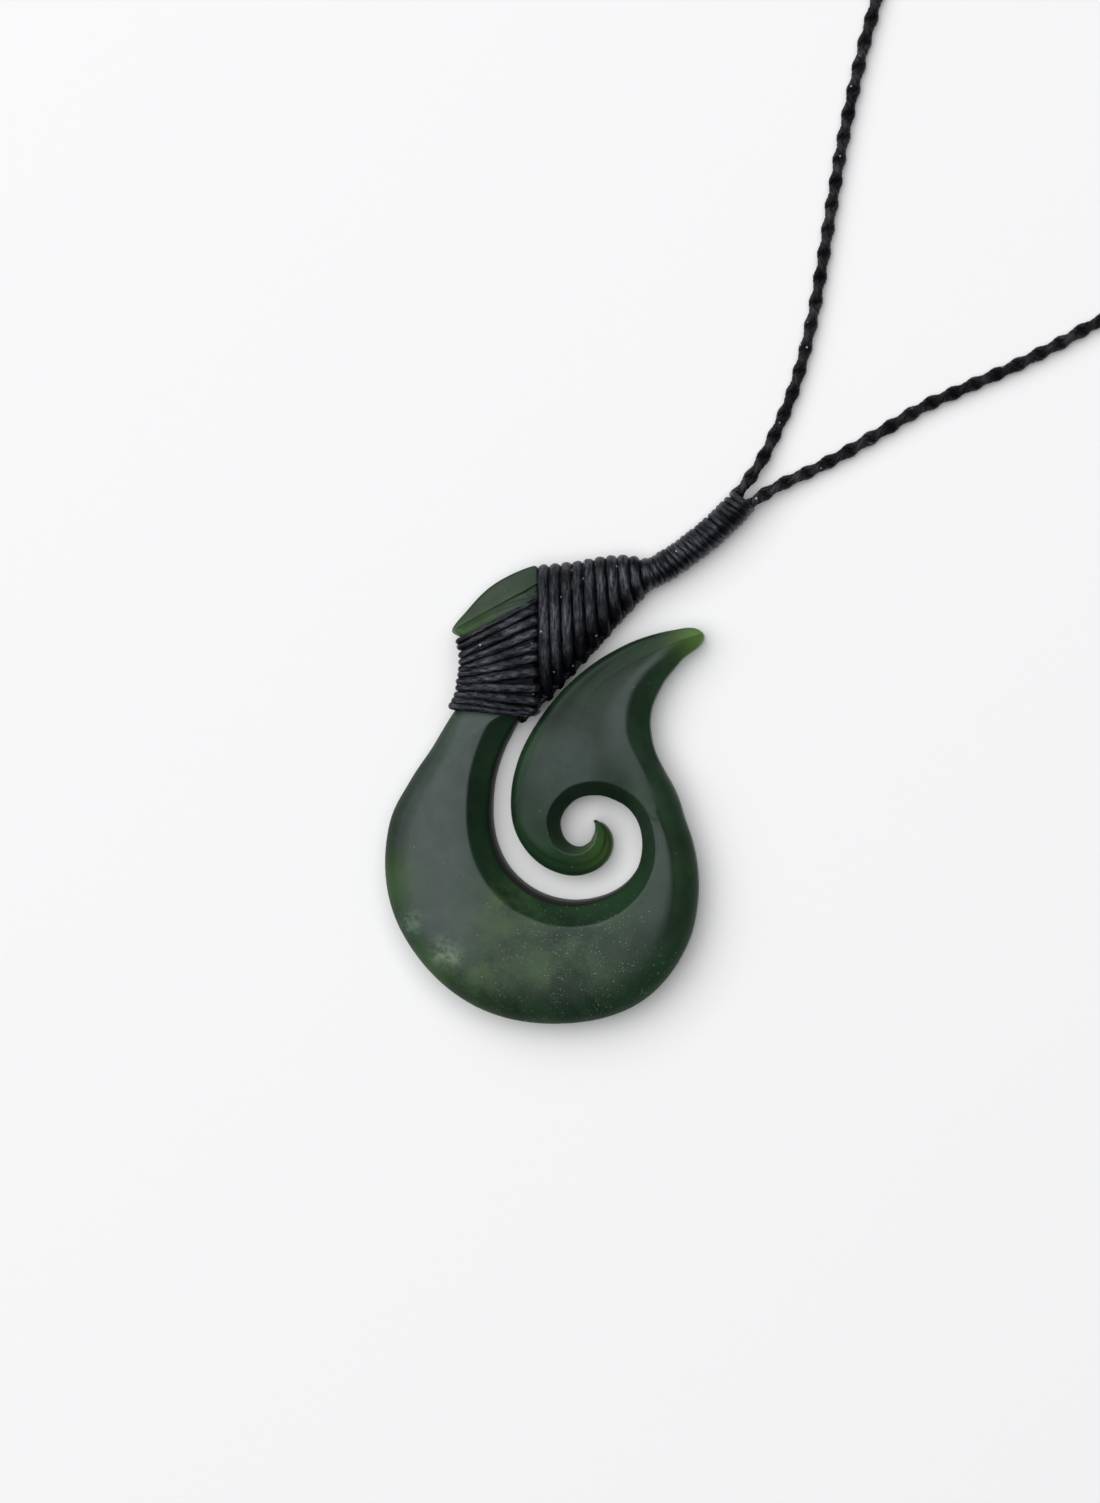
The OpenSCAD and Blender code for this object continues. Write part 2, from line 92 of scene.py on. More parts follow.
# Turns round the eye in degrees. Reaches are shares of the form's height, thicknesses of the hook's
# thickness and bevels of the bevel's width.
HOOK = [
    # Nose, head and crest
    [92.0, 0.527, 91.8, 0.556, 1.0, 0.85, 0.12, 0.85, 0.12],
    [99.4, 0.528, 99.1, 0.572, 1.0, 0.85, 0.12, 0.85, 0.15],
    [101.0, 0.528, 100.3, 0.597, 0.7, 0.85, 0.12, 0.85, 0.12],
    [101.4, 0.528, 109.5, 0.581, 0.5, 0.85, 0.12, 0.85, 0.85],
    [101.7, 0.527, 117.0, 0.553, 0.5, 0.85, 0.12, 0.85, 0.60],
    [101.9, 0.525, 122.8, 0.527, 0.7, 0.85, 0.12, 0.80, 0.15],
    # Neck, with its notch
    [102.3, 0.519, 121.2, 0.492, 1.0, 0.85, 0.12, 0.85, 0.15],
    [106.0, 0.410, 125.5, 0.437, 1.0, 0.85, 0.15, 0.85, 0.20],
    [112.7, 0.305, 131.5, 0.399, 1.0, 0.85, 0.15, 0.85, 0.25],
    # Shank
    [118.9, 0.289, 138.0, 0.387, 0.7, 0.90, 0.55, 0.90, 0.55],
    [128.0, 0.266, 149.0, 0.380, 0.0, 0.92, 1.00, 0.92, 0.80],
    [145.0, 0.234, 163.0, 0.396, 0.0, 0.94, 1.00, 0.93, 0.95],
    [166.0, 0.206, 178.0, 0.425, 0.0, 0.96, 1.00, 0.94, 1.00],
    # Bend
    [203.0, 0.178, 207.0, 0.449, 0.0, 1.00, 1.08, 0.95, 1.05],
    [234.0, 0.157, 236.0, 0.443, 0.0, 1.00, 1.12, 0.93, 1.10],
    [262.0, 0.144, 263.0, 0.415, 0.0, 1.00, 1.12, 0.92, 1.10],
    [288.0, 0.139, 289.0, 0.386, 0.0, 1.00, 1.05, 0.93, 1.05],
    [312.0, 0.139, 312.0, 0.334, 0.0, 0.99, 0.85, 0.94, 1.00],
    [334.0, 0.137, 333.0, 0.282, 0.0, 0.97, 0.68, 0.94, 0.95],
    [354.0, 0.130, 354.0, 0.243, 0.0, 0.95, 0.60, 0.93, 0.95],
    [373.0, 0.123, 374.0, 0.223, 0.0, 0.93, 0.56, 0.92, 0.95],
    [391.0, 0.114, 393.0, 0.224, 0.0, 0.92, 0.56, 0.91, 1.02],
    # Barb
    [407.0, 0.103, 408.0, 0.238, 0.0, 0.92, 0.58, 0.90, 1.15],
    [421.0, 0.096, 417.3, 0.272, 0.0, 0.92, 0.60, 0.88, 1.50],
    [433.0, 0.090, 421.8, 0.320, 0.0, 0.92, 0.60, 0.85, 1.35],
    [443.0, 0.086, 422.3, 0.370, 0.0, 0.92, 0.58, 0.79, 0.95],
    [452.0, 0.083, 421.2, 0.420, 0.0, 0.92, 0.56, 0.71, 0.58],
    [460.0, 0.080, 420.0, 0.468, 0.0, 0.92, 0.55, 0.65, 0.22],
    [467.0, 0.077, 419.0, 0.511, 0.0, 0.92, 0.54, 0.60, 0.08],
    [473.0, 0.074, 424.0, 0.499, 0.0, 0.92, 0.53, 0.64, 0.20],
    [480.0, 0.071, 432.5, 0.453, 0.0, 0.92, 0.52, 0.70, 0.33],
    [488.0, 0.068, 442.5, 0.396, 0.0, 0.92, 0.51, 0.77, 0.42],
    [498.0, 0.064, 455.0, 0.332, 0.0, 0.92, 0.50, 0.83, 0.48],
    [511.0, 0.059, 470.0, 0.271, 0.0, 0.92, 0.48, 0.87, 0.52],
    # Spiral and its tip
    [526.0, 0.052, 488.0, 0.222, 0.0, 0.91, 0.46, 0.88, 0.52],
    [544.0, 0.045, 509.0, 0.182, 0.0, 0.91, 0.44, 0.88, 0.50],
    [566.0, 0.038, 532.0, 0.153, 0.0, 0.91, 0.40, 0.88, 0.48],
    [594.0, 0.031, 559.0, 0.125, 0.0, 0.90, 0.34, 0.87, 0.46],
    [626.0, 0.025, 590.0, 0.103, 0.0, 0.89, 0.28, 0.85, 0.43],
    [662.0, 0.021, 625.0, 0.089, 0.0, 0.87, 0.22, 0.83, 0.39],
    [700.0, 0.021, 662.0, 0.079, 0.0, 0.84, 0.16, 0.80, 0.35],
    [735.0, 0.026, 698.0, 0.069, 0.0, 0.80, 0.11, 0.76, 0.29],
    [761.0, 0.034, 731.0, 0.057, 0.0, 0.74, 0.08, 0.71, 0.17],
    [775.0, 0.038, 757.0, 0.046, 0.0, 0.66, 0.05, 0.64, 0.07],
]
# How wide the barb's bevel is from row 20 on, as a share of the solid's, which runs out to its point
BARB_ROW = 20
BARB_WIDTH = [[1.0], [0.85], [0.66], [0.64], [0.68], [0.85], [1.0], [1.5], [1.0], [1.0]]
LEAF_ROW = 21
LEAF = [
    [392.0, 0.169, 0.92], [410.0, 0.158, 0.91], [426.5, 0.176, 0.90], [439.8, 0.225, 0.89],
    [445.0, 0.273, 0.87], [447.7, 0.292, 0.86], [449.2, 0.292, 0.86], [451.2, 0.289, 0.85],
    [453.2, 0.285, 0.85], [455.8, 0.279, 0.85], [458.9, 0.271, 0.86], [464.0, 0.255, 0.86],
    [471.9, 0.230, 0.88], [486.3, 0.186, 0.89], [513.0, 0.128, 0.90], [549.0, 0.096, 0.91],
]
# Routes of the cord's two halves from the middle of the whipping's end face: x, y and lift
LEFT_ROUTE = [
    [-0.45, 0.9, 0.9], [0.2, 1.7, 0.8], [1, 2.8, 0.6], [2.1, 4.6, 0.3], [3.5, 7.4, 0], [5.5, 12.2, 0],
    [7.1, 18, 0], [8.3, 24, 0], [9.6, 32, 0], [10.8, 39, 0], [12.5, 47, 0], [14.6, 55, 0], [19, 70, 0],
    [24, 86, 0], [30, 104, 0], [36, 122, 0], [42, 140, 0], [48, 158.5, 0], [54, 177, 0], [61, 194, 0],
    [71.5, 209.5, 0], [85.5, 221.5, 0], [102, 230, 0], [119, 234, 0], [134.5, 233, 0],
    [147, 229, 0.1], [158.4, 223.1, 0.2], [166.5, 217.2, 0.5], [171.7, 212.5, 0.9], [176.4, 207.8, 0.9],
]
RIGHT_ROUTE = [
    [0.9, -0.35, 0.9], [2, 0.4, 0.8], [3.6, 1.4, 0.5], [5.6, 2.4, 0.2], [8, 3.5, 0], [11.4, 5.3, 0],
    [15.5, 7.7, 0], [19.8, 10.2, 0], [24.5, 12.3, 0], [29.5, 14.5, 0], [34.5, 17, 0], [39.5, 19.7, 0],
    [53, 26, 0], [69, 33, 0], [86, 41, 0], [103, 49, 0], [120, 57, 0], [137, 65, 0], [154, 74.5, 0],
    [169, 85.5, 0], [181.5, 98, 0], [191, 112, 0], [197.5, 128, 0], [200, 145, 0], [199.5, 162, 0],
    [196.2, 177.5, 0.1], [191.6, 189, 0.2], [186.3, 197.6, 0.5], [181.5, 202.7, 0.9], [176.8, 207.4, 0.9],
]
SLOPE_LIMIT = 3



def at_rows(table: Sequence[Sequence[float]], t: Array | float) -> Array:
    """Reads a table between its rows, on a smooth curve that never overshoots them.

    Args:
        table: The rows.
        t: Places along the table, where a whole number is a row.

    Returns:
        One row of values for each place.
    """
    rows = np.asarray(table, float)
    t = np.atleast_1d(np.asarray(t, float))
    steps = np.diff(np.vstack([2 * rows[0] - rows[1], rows, 2 * rows[-1] - rows[-2]]), axis=0)
    a, b = steps[:-1], steps[1:]
    steepest = SLOPE_LIMIT * np.minimum(np.abs(a), np.abs(b))
    slopes = np.where(a * b <= 0, 0, np.sign(a) * np.minimum(np.abs(a + b) / 2, steepest))
    i = np.clip(np.floor(t).astype(int), 0, len(rows) - 2)
    u = (t - i)[:, None]
    rise = (rows[i + 1] - rows[i]) * u * u * (3 - 2 * u)
    return rows[i] + rise + slopes[i] * u * (1 - u) ** 2 - slopes[i + 1] * u * u * (1 - u)


def mix(a: Array | float, b: Array | float, share: Array | float) -> Array:
    """The value that lies this share of the way from a to b."""
    return a + (b - a) * share


def curve(start: Array, knee: Array, end: Array, share: float) -> Array:
    """A point on the arc that rounds off a knee."""
    return mix(mix(start, knee, share), mix(knee, end, share), share)


def unit(v: Array) -> Array:
    """Vectors along the last axis, made one long."""
    return v / np.maximum(np.linalg.norm(v, axis=-1, keepdims=True), 1e-12)


def ease(low: float, high: float, x: Array) -> Array:
    """A smooth step from 0 at low to 1 at high."""
    u = np.clip((np.asarray(x, float) - low) / (high - low), 0, 1)
    return u * u * (3 - 2 * u)


def heading(angle: Array) -> Array:
    """Directions in plan at these angles."""
    return np.stack([np.cos(angle), np.sin(angle)], axis=-1)


def raised(p: Array, z: Array | float) -> Array:
    """Points in plan with their heights."""
    return np.concatenate([p, np.broadcast_to(z, (len(p),))[:, None]], axis=1)


def lengths_along(path: Array) -> Array:
    """How far along a path each of its points lies."""
    return np.concatenate([[0], np.cumsum(np.linalg.norm(np.diff(path, axis=0), axis=1))])


def read_off(way: Array, length: Array, points: Array) -> Array:
    """Points read off a path at other lengths along it."""
    return np.stack([np.interp(way, length, points[:, k]) for k in range(3)], axis=1)


def box_outline(wide: Array, tall: Array, corner: Array, lap: Array) -> Array:
    """Points on upright rectangles with round corners, one on each.

    Args:
        wide: Widths.
        tall: Heights.
        corner: Corner radii.
        lap: How far round each point lies, from 0 to 1, starting in the middle of the foot and going
            towards the right side first.

    Returns:
        For each point its place across and its height, both from the rectangle's middle.
    """
    flat, side, arc = wide - 2 * corner, tall - 2 * corner, math.pi / 2 * corner
    legs = np.stack([flat / 2, arc, side, arc, flat, arc, side, arc, flat / 2], axis=1)
    ends = np.cumsum(legs, axis=1)
    way = (lap % 1.0) * ends[:, -1]
    leg = np.minimum((way[:, None] > ends).sum(axis=1), legs.shape[1] - 1)
    done = way - np.take_along_axis(ends - legs, leg[:, None], axis=1)[:, 0]
    half_x, half_y = flat / 2, side / 2
    # The arcs are legs 1, 3, 5 and 7, and each starts a quarter of a turn after the one before
    turn = done / np.maximum(corner, 1e-9) + (leg - 3) * math.pi / 4
    arc_x = half_x * np.where(leg < 4, 1, -1) + corner * np.cos(turn)
    arc_y = half_y * np.where((leg > 2) & (leg < 6), 1, -1) + corner * np.sin(turn)
    x = np.choose(leg, [done, arc_x, wide / 2, arc_x, half_x - done, arc_x, -wide / 2, arc_x,
                        done - half_x])
    y = np.choose(leg, [-tall / 2, arc_y, done - half_y, arc_y, tall / 2, arc_y, half_y - done, arc_y,
                        -tall / 2])
    return np.stack([x, y], axis=1)


# Meshes


class HazeAndSheen(IntEnum):
    """Columns of the haze table: middle, half width, half height, turn in degrees, and strength."""

    X = 0
    Y = 1
    WIDE = 2
    TALL = 3
    TURN = 4
    STRENGTH = 5


# Where the front gets its grey veil, as soft ovals: partly the satin of the last lap, partly painted
# reflection of the soft box
HAZE_AND_SHEEN = [
    # Crest
    [-8.9, 40.2, 6.5, 1.7, 31, 0.40], [-6.9, 39.4, 3.8, 1.2, 30, 0.50],
    # Shank and the bend's left side
    [-12.3, 24.5, 5.0, 9.0, -20, 1.00], [-15.8, 14.0, 5.5, 13.0, 0, 1.00], [-15.0, 5.5, 5.5, 7.0, 20, 0.95],
    # Foot of the bend
    [-8.5, 3.8, 7.5, 6.0, 0, 0.24], [-1.5, 0.5, 9.0, 5.0, 0, 0.10], [5.0, 4.0, 6.0, 5.0, 0, 0.26],
    # Right side
    [9.0, 9.5, 3.8, 8.0, 0, 0.52], [8.8, 17.5, 3.2, 6.5, 12, 0.36], [6.4, 22.5, 3.6, 5.0, 20, 0.34],
    # Leaf and barb
    [-1.8, 20.6, 5.0, 5.4, 0, 0.68], [1.0, 24.6, 3.6, 5.0, -30, 0.16],
    [4.4, 27.0, 1.9, 5.0, -14, 0.60], [7.6, 32.4, 0.8, 4.6, -46, 0.85], [-5.2, 16.6, 2.6, 5.5, 0, 0.22],
]
# Where a painted glow stands for light getting through the stone, as round places: middle, reach and strength
PAINTED_GLOW_PLACES = [
    # The tips of the koru, the barb and the crest
    [2.6, 12.2, 5.5, 0.42], [13.6, 35.9, 6.8, 1.0], [-14.3, 35.6, 4.2, 0.34],
    # Crest
    [-12.4, 36.9, 2.6, 0.30], [-10.4, 38.1, 2.6, 0.26], [-9.2, 40.2, 8.0, 0.12],
    # The bend's rounded rim
    [-20.8, 9.0, 6.0, 0.25], [-17.5, -1.0, 6.0, 0.28], [-11.0, -6.5, 5.0, 0.18], [13.5, 11.0, 5.0, 0.10],
]


@dataclass
class Skin:
    """Rings of points that a mesh is stretched over, with values kept at each point.

    Args:
        rings: Points as rings, places round them and three coordinates.
        values: Named values, each one number for each point.
        capped: Whether the two ends are closed.
    """

    rings: Array
    values: dict[str, Array]
    capped: bool = True


def make_piece(name: str, skins: list[Skin], finish: Material, solid: str) -> bpy.types.Object:
    """Makes one smooth mesh object from closed rings and puts it in the place of its solid.

    Args:
        name: The piece's name.
        skins: The shells that it is made of.
        finish: Its material.
        solid: The CAD node that it stands for.

    Returns:
        The object, linked into the scene and riding on the body.
    """
    points, faces, values = [], [], {}
    first = 0
    for skin in skins:
        count, sides = skin.rings.shape[:2]
        at = first + np.arange(count * sides).reshape(count, sides)
        right = np.roll(at, -1, axis=1)
        quads = np.stack([at[:-1], right[:-1], right[1:], at[1:]], axis=-1).reshape(-1, 4)
        p = skin.rings.reshape(-1, 3)
        a, b, c, d = (p[quads[:, k] - first] for k in range(4))
        # Faces that look inwards are turned round, with the two ends
        inwards = np.einsum("ij,ij->", np.cross(c - a, d - b), (a + b + c + d) / 4 - p.mean(axis=0)) < 0
        hand = -1 if inwards else 1
        faces += quads[:, ::hand].tolist()
        faces += [at[0][::-hand].tolist(), at[-1][::hand].tolist()] if skin.capped else []
        points.append(p)
        for key, kept in skin.values.items():
            values.setdefault(key, []).append(np.broadcast_to(kept, (count, sides)).reshape(-1))
        first += count * sides
    mesh = bpy.data.meshes.new(name)
    mesh.from_pydata((np.concatenate(points) * MM).tolist(), [], faces)
    mesh.shade_smooth()
    for key, kept in values.items():
        layer = mesh.attributes.new(key, "FLOAT", "POINT")
        layer.data.foreach_set("value", np.concatenate(kept).astype(np.float32))
    mesh.materials.append(finish)
    made = bpy.data.objects.new(name, mesh)
    bpy.context.scene.collection.objects.link(made)
    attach(made, BODY)
    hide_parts(solid)
    LOG.info("%s: %d points for %s", name, len(mesh.vertices), solid)
    return made


def squared(path: Array, way: Array, out: Array) -> tuple[Array, Array]:
    """Makes directions that point away from a winding square to a path on it.

    Args:
        path: Points on the path.
        way: How far along it they lie.
        out: Directions that roughly point away.

    Returns:
        Directions across the path, and the directions away from the winding.
    """
    ahead = unit(np.gradient(path, way, axis=0))
    across = unit(np.cross(ahead, out))
    return across, unit(np.cross(across, ahead))


def ring_angles(sides: int) -> tuple[Array, Array]:
    """Angles of the points round a ring, and how far round either way they lie from the first."""
    angle = np.arange(sides) * 2 * math.pi / sides
    return angle, angle - 2 * math.pi * (np.arange(sides) >= sides / 2)


def tube(path: Array, out: Array, across: Array, tall: Array, wide: Array) -> Array:
    """Rings of points round a path, with the distances out and across for each point."""
    return path[:, None] + out[:, None] * tall[..., None] + across[:, None] * wide[..., None]


@dataclass(frozen=True)
class Thread:
    """One kind of thread, as plies that are twisted together.

    Args:
        thick: Its thickness, at right angles to what it is wound on.
        plies: How many plies show.
        lay: Length of one full twist.
        relief: How deep the valleys between plies are, as a share of its radius.
        sides: Points round it.
        step: Length between two rings.
        wander: How far it strays from its path.
        knot_step: Length over which it strays to the other side.
        cut_round: Length over which a cut end is rounded, as a share of its thickness.
    """

    thick: float
    plies: int
    lay: float
    relief: float
    sides: int
    step: float
    wander: float = 0.03
    knot_step: float = 3.0
    cut_round: float = 0.6

    def skin(self, path: Array, out: Array, half_wide: Array, seed: int) -> Skin:
        """Stretches a thread along a path.

        Args:
            path: Points on its middle line.
            out: Directions that point away from what it is wound on.
            half_wide: Half of its width at each point.
            seed: Start of its own random numbers.

        Returns:
            The thread's skin.
        """
        length = lengths_along(path)
        way = np.linspace(0, length[-1], max(int(length[-1] / self.step), 8) + 1)
        path, half_wide = read_off(way, length, path), np.interp(way, length, half_wide)
        across, out = squared(path, way, read_off(way, length, out))
        rng = np.random.default_rng(seed)
        knots = np.arange(0, way[-1] + 2 * self.knot_step, self.knot_step)
        stray = [np.interp(way, knots, rng.normal(0, self.wander, len(knots))) for _ in range(3)]
        path = path + across * stray[0][:, None] + out * 0.4 * stray[1][:, None]
        # Both ends are cut round, so the thread shrinks to hardly anything there
        end = np.minimum(way, way[-1] - way) / (self.cut_round * self.thick)
        shrink = np.sqrt(1 - (1 - np.clip(end, 0.04, 1)) ** 2)
        swell = 1 + stray[2]
        tall, wide = self.thick / 2 * swell * shrink, half_wide * swell * shrink
        angle, beside = ring_angles(self.sides)
        twist = 2 * math.pi * way / self.lay + rng.uniform(0, 6)
        ply = np.abs(np.cos(self.plies / 2 * (angle[None, :] - twist[:, None])))
        reach = 1 - self.relief * (1 - ply)
        rings = tube(path, out, across, tall[:, None] * reach * np.cos(angle),
                     wide[:, None] * reach * np.sin(angle))
        # Painted shade: light hardly reaches the valleys between plies and the flanks beside the next turn,
        # so the finish darkens them there
        flank = np.minimum(2.6 * np.abs(np.sin(angle / 2)) ** 2, 1)
        return Skin(rings, {"valley_shade": 1 - (1 - 0.35 * (1 - ply)) * (1 - flank),
                            "along": np.broadcast_to(way[:, None], ply.shape),
                            "around": np.broadcast_to(self.thick / 2 * beside, ply.shape)})


# The 0.7 mm thread of the neck and the whipping, and the thicker one over the nose
FINE_THREAD = Thread(thick=0.74, plies=3, lay=4.6, relief=0.09, sides=12, step=0.14, wander=0.06)
THICK_THREAD = Thread(thick=1.22, plies=5, lay=16.0, relief=0.07, sides=18, step=0.2, wander=0.035)
# The thread of the sleeve behind the neck
HIDDEN_THREAD = Thread(thick=0.74, plies=3, lay=2.4, relief=0.26, sides=10, step=0.2)
# The row of half hitches along the upper lashing's slanting foot
HITCH_THREAD = Thread(thick=1.0, plies=2, lay=1.5, relief=0.34, sides=12, step=0.1)


# Finishes


def linear(code: str) -> tuple[float, float, float, float]:
    """Turns an sRGB hex colour into linear red, green, blue and alpha."""
    parts = [int(code[k:k + 2], 16) / 255 for k in (1, 3, 5)]
    return (*[c / 12.92 if c <= 0.04045 else ((c + 0.055) / 1.055) ** 2.4 for c in parts], 1.0)


def add_node(tree: Tree, kind: str, inputs: dict | None = None, **settings: object) -> Node:
    """Adds one node to a material.

    Args:
        tree: The material's node tree.
        kind: The node's type.
        inputs: Values of its inputs, or what is linked to them: a socket, or a node, which stands for
            its first output in use.
        settings: Properties of the node.

    Returns:
        The node.
    """
    node = tree.nodes.new("ShaderNode" + kind)
    for key, value in settings.items():
        setattr(node, key, value)
    for key, value in (inputs or {}).items():
        if isinstance(value, Node):
            value = next(socket for socket in value.outputs if socket.enabled)
        if isinstance(value, bpy.types.NodeSocket):
            tree.links.new(value, node.inputs[key])
        else:
            node.inputs[key].default_value = value
    return node


def empty_material(name: str) -> tuple[Material, Tree, Node]:
    """Starts a material.

    Args:
        name: The material's name.

    Returns:
        The material, its node tree, and the node that gives places on the piece in millimetres.
    """
    made = bpy.data.materials.new(name)
    made.use_nodes = True
    tree = made.node_tree
    tree.nodes.clear()
    place = add_node(tree, "TexCoord").outputs["Object"]
    return made, tree, add_node(tree, "VectorMath", {0: place, "Scale": 1 / MM}, operation="SCALE")


class StoneColour(str, Enum):
    """The colours in the stone, as sRGB hex values, with painted shade, painted glow and the grey of painted
    reflection among them.
    """

    DEEP = "#0f1f13"
    BODY = "#1e3823"
    SHADE = "#121c15"
    HAZE_AND_SHEEN = "#4b5452"
    CLOUD = "#4c6449"
    MOSS = "#465f3d"
    FLECK = "#8b9e8c"
    SPECK = "#93a89c"
    THIN = "#567638"
    SAWN_WALL_SHADE = "#15120f"


@dataclass(frozen=True)
class Cloud:
    """A ragged patch of another colour in the stone, or of painted shade.

    Args:
        centre: Its middle.
        reach: How far it goes.
        grain: How fine its rags are, in rags for each millimetre.
        colour: Its colour.
        most: How strong it is at its strongest.
    """

    centre: tuple[float, float, float]
    reach: float
    grain: float
    colour: StoneColour
    most: float


# The bend is a lighter green than the rest, and the leaf's upper end is darkened with painted shade
GROUND_CLOUDS_AND_SHADE = (
    Cloud((-3.0, 3.0, 5.0), 19.0, 0.12, StoneColour.BODY, 0.9),
    Cloud((-0.4, 29.6, 5.2), 10.0, 0.10, StoneColour.SHADE, 1.0),
)
# One wide pale cloud in the bend, which shows on the lapped faces alone
PALE_CLOUD = Cloud((-3.0, 2.5, 5.5), 16.0, 0.2, StoneColour.CLOUD, 0.5)
# Moss green clouds in the bend, with two pale flecks at its left
SMALL_CLOUDS = (
    Cloud((-8.4, 5.4, 5.3), 7.0, 0.34, StoneColour.MOSS, 0.8),
    Cloud((-11.6, -0.8, 5.3), 5.5, 0.36, StoneColour.MOSS, 0.65),
    Cloud((-4.6, -0.4, 5.5), 4.0, 0.4, StoneColour.MOSS, 0.45),
    Cloud((-14.7, 1.0, 5.0), 2.8, 0.9, StoneColour.FLECK, 0.75),
    Cloud((-18.3, 4.5, 4.5), 2.4, 0.9, StoneColour.FLECK, 0.6),
)


@dataclass(frozen=True)
class Greenstone:
    """Nephrite jade, sawn and ground to shape and satin polished by hand.

    The felted fibres of nephrite give a deep green, and a painted glow in the colour stands for the light
    that gets through the stone at its tips. The last lap leaves a lilac grey veil in the middle of the flat
    faces, partly its satin and partly painted reflection of the soft box. The hollowed bevels and the rounded
    edges are polished further, so they stay dark and clear. The satin breaks up most of the mirror light.

    Args:
        name: The material's name.
        rough_bevel: Roughness of the polished bevels.
        rough_face: Roughness of the lapped faces.
        ior: Index of refraction.
        mirror: Level of the mirror light on the polished stone.
        mirror_sawn: The same on the sawn wall.
        koru_middle: Middle of the spiral's tight inside.
        speck_middle: Where the specks are thickest.
    """

    name: str = "nephrite_satin_polished"
    rough_bevel: float = 0.46
    rough_face: float = 0.58
    ior: float = 1.62
    mirror: float = 0.15
    mirror_sawn: float = 0.02
    koru_middle: tuple[float, float, float] = (-0.8, 16.4, 4.5)
    speck_middle: tuple[float, float, float] = (-0.5, -3.6, 5.0)

    def make(self) -> Material:
        """Builds the material.

        Returns:
            The finished material.
        """
        made, tree, mm = empty_material(self.name)
        haze_and_sheen, lap, painted_glow_share = (add_node(tree, "Attribute", attribute_name=name).outputs["Fac"]
                           for name in ("haze_and_sheen", "lap", "painted_glow_share"))
        # Clouds 9 mm across run through the stone, with fibres of under a millimetre in them
        clouds = add_node(tree, "TexNoise", {
            "Vector": mm, "Scale": 0.11, "Detail": 5.0, "Roughness": 0.6, "Distortion": 0.6})
        colour = add_node(tree, "ValToRGB", {"Fac": clouds})
        greens = ((0.35, StoneColour.DEEP), (0.62, StoneColour.BODY))
        for stop, (place, green) in zip(colour.color_ramp.elements, greens):
            stop.position, stop.color = place, linear(green)
        for cloud in GROUND_CLOUDS_AND_SHADE:
            colour = self.clouded(tree, mm, colour, cloud)
        # The grey veil, satin and painted reflection alike, is rubbed thinner in places 2 mm across
        rubbed = add_node(tree, "TexNoise", {"Vector": mm, "Scale": 0.45, "Detail": 6.0, "Roughness": 0.6})
        kept = add_node(tree, "MapRange", {
            "Value": rubbed, "From Min": 0.3, "From Max": 0.65, "To Min": 0.72, "To Max": 1.0})
        # The grey mixed in here is the satin's own tone and painted reflection of the soft box
        veil = add_node(tree, "Math", {0: haze_and_sheen, 1: kept}, operation="MULTIPLY")
        colour = add_node(tree, "Mix", {0: veil, 6: colour, 7: linear(StoneColour.HAZE_AND_SHEEN)}, data_type="RGBA")
        colour = self.clouded(tree, mm, colour, PALE_CLOUD, lap)
        for cloud in SMALL_CLOUDS:
            colour = self.clouded(tree, mm, colour, cloud)
        # The sawn inner wall was left unpolished, and its near-black brown is painted shade on the steep wall
        sawn = add_node(tree, "Math", {0: lap, 1: -1.0}, operation="MULTIPLY", use_clamp=True)
        # The painted glow is colour that stands for light shining through the stone at its tips
        coats = ((self.specks(tree, mm), StoneColour.SPECK), (painted_glow_share, StoneColour.THIN),
                 (sawn, StoneColour.SAWN_WALL_SHADE))
        for share, coat in coats:
            colour = add_node(tree, "Mix", {0: share, 6: colour, 7: linear(coat)}, data_type="RGBA")
        mirror = add_node(tree, "MapRange", {
            "Value": sawn, "To Min": self.mirror, "To Max": self.mirror_sawn})
        # The polish hardly reached the tight inside of the spiral, so it mirrors less
        inside = add_node(tree, "VectorMath", {0: mm, 1: self.koru_middle}, operation="DISTANCE")
        reached = add_node(tree, "MapRange", {
            "Value": inside, "From Min": 3.0, "From Max": 9.0, "To Min": 0.2},
            interpolation_type="SMOOTHSTEP")
        sharp = add_node(tree, "Math", {0: mirror, 1: reached}, operation="MULTIPLY")
        # The grit of the last lap leaves scratches of 0.1 mm, drawn here at 0.3 mm
        grit = add_node(tree, "TexNoise", {"Vector": mm, "Scale": 3.2, "Detail": 3.0, "Roughness": 0.7})
        rough = add_node(tree, "MapRange", {
            "Value": haze_and_sheen, "To Min": self.rough_bevel, "To Max": self.rough_face})
        uneven = add_node(tree, "Math", {0: grit, 1: 0.12, 2: -0.06}, operation="MULTIPLY_ADD")
        gloss = add_node(tree, "Math", {0: rough, 1: uneven}, operation="ADD")
        bump = add_node(tree, "Bump", {"Height": grit, "Strength": 0.12, "Distance": 0.05 * MM})
        shell = add_node(tree, "BsdfPrincipled", {
            "Base Color": colour, "Roughness": gloss, "IOR": self.ior, "Specular IOR Level": sharp,
            "Normal": bump, "Subsurface Weight": 0.15, "Subsurface Radius": (0.3, 1.0, 0.25),
            "Subsurface Scale": 1.6 * MM})
        add_node(tree, "OutputMaterial", {"Surface": shell})
        return made

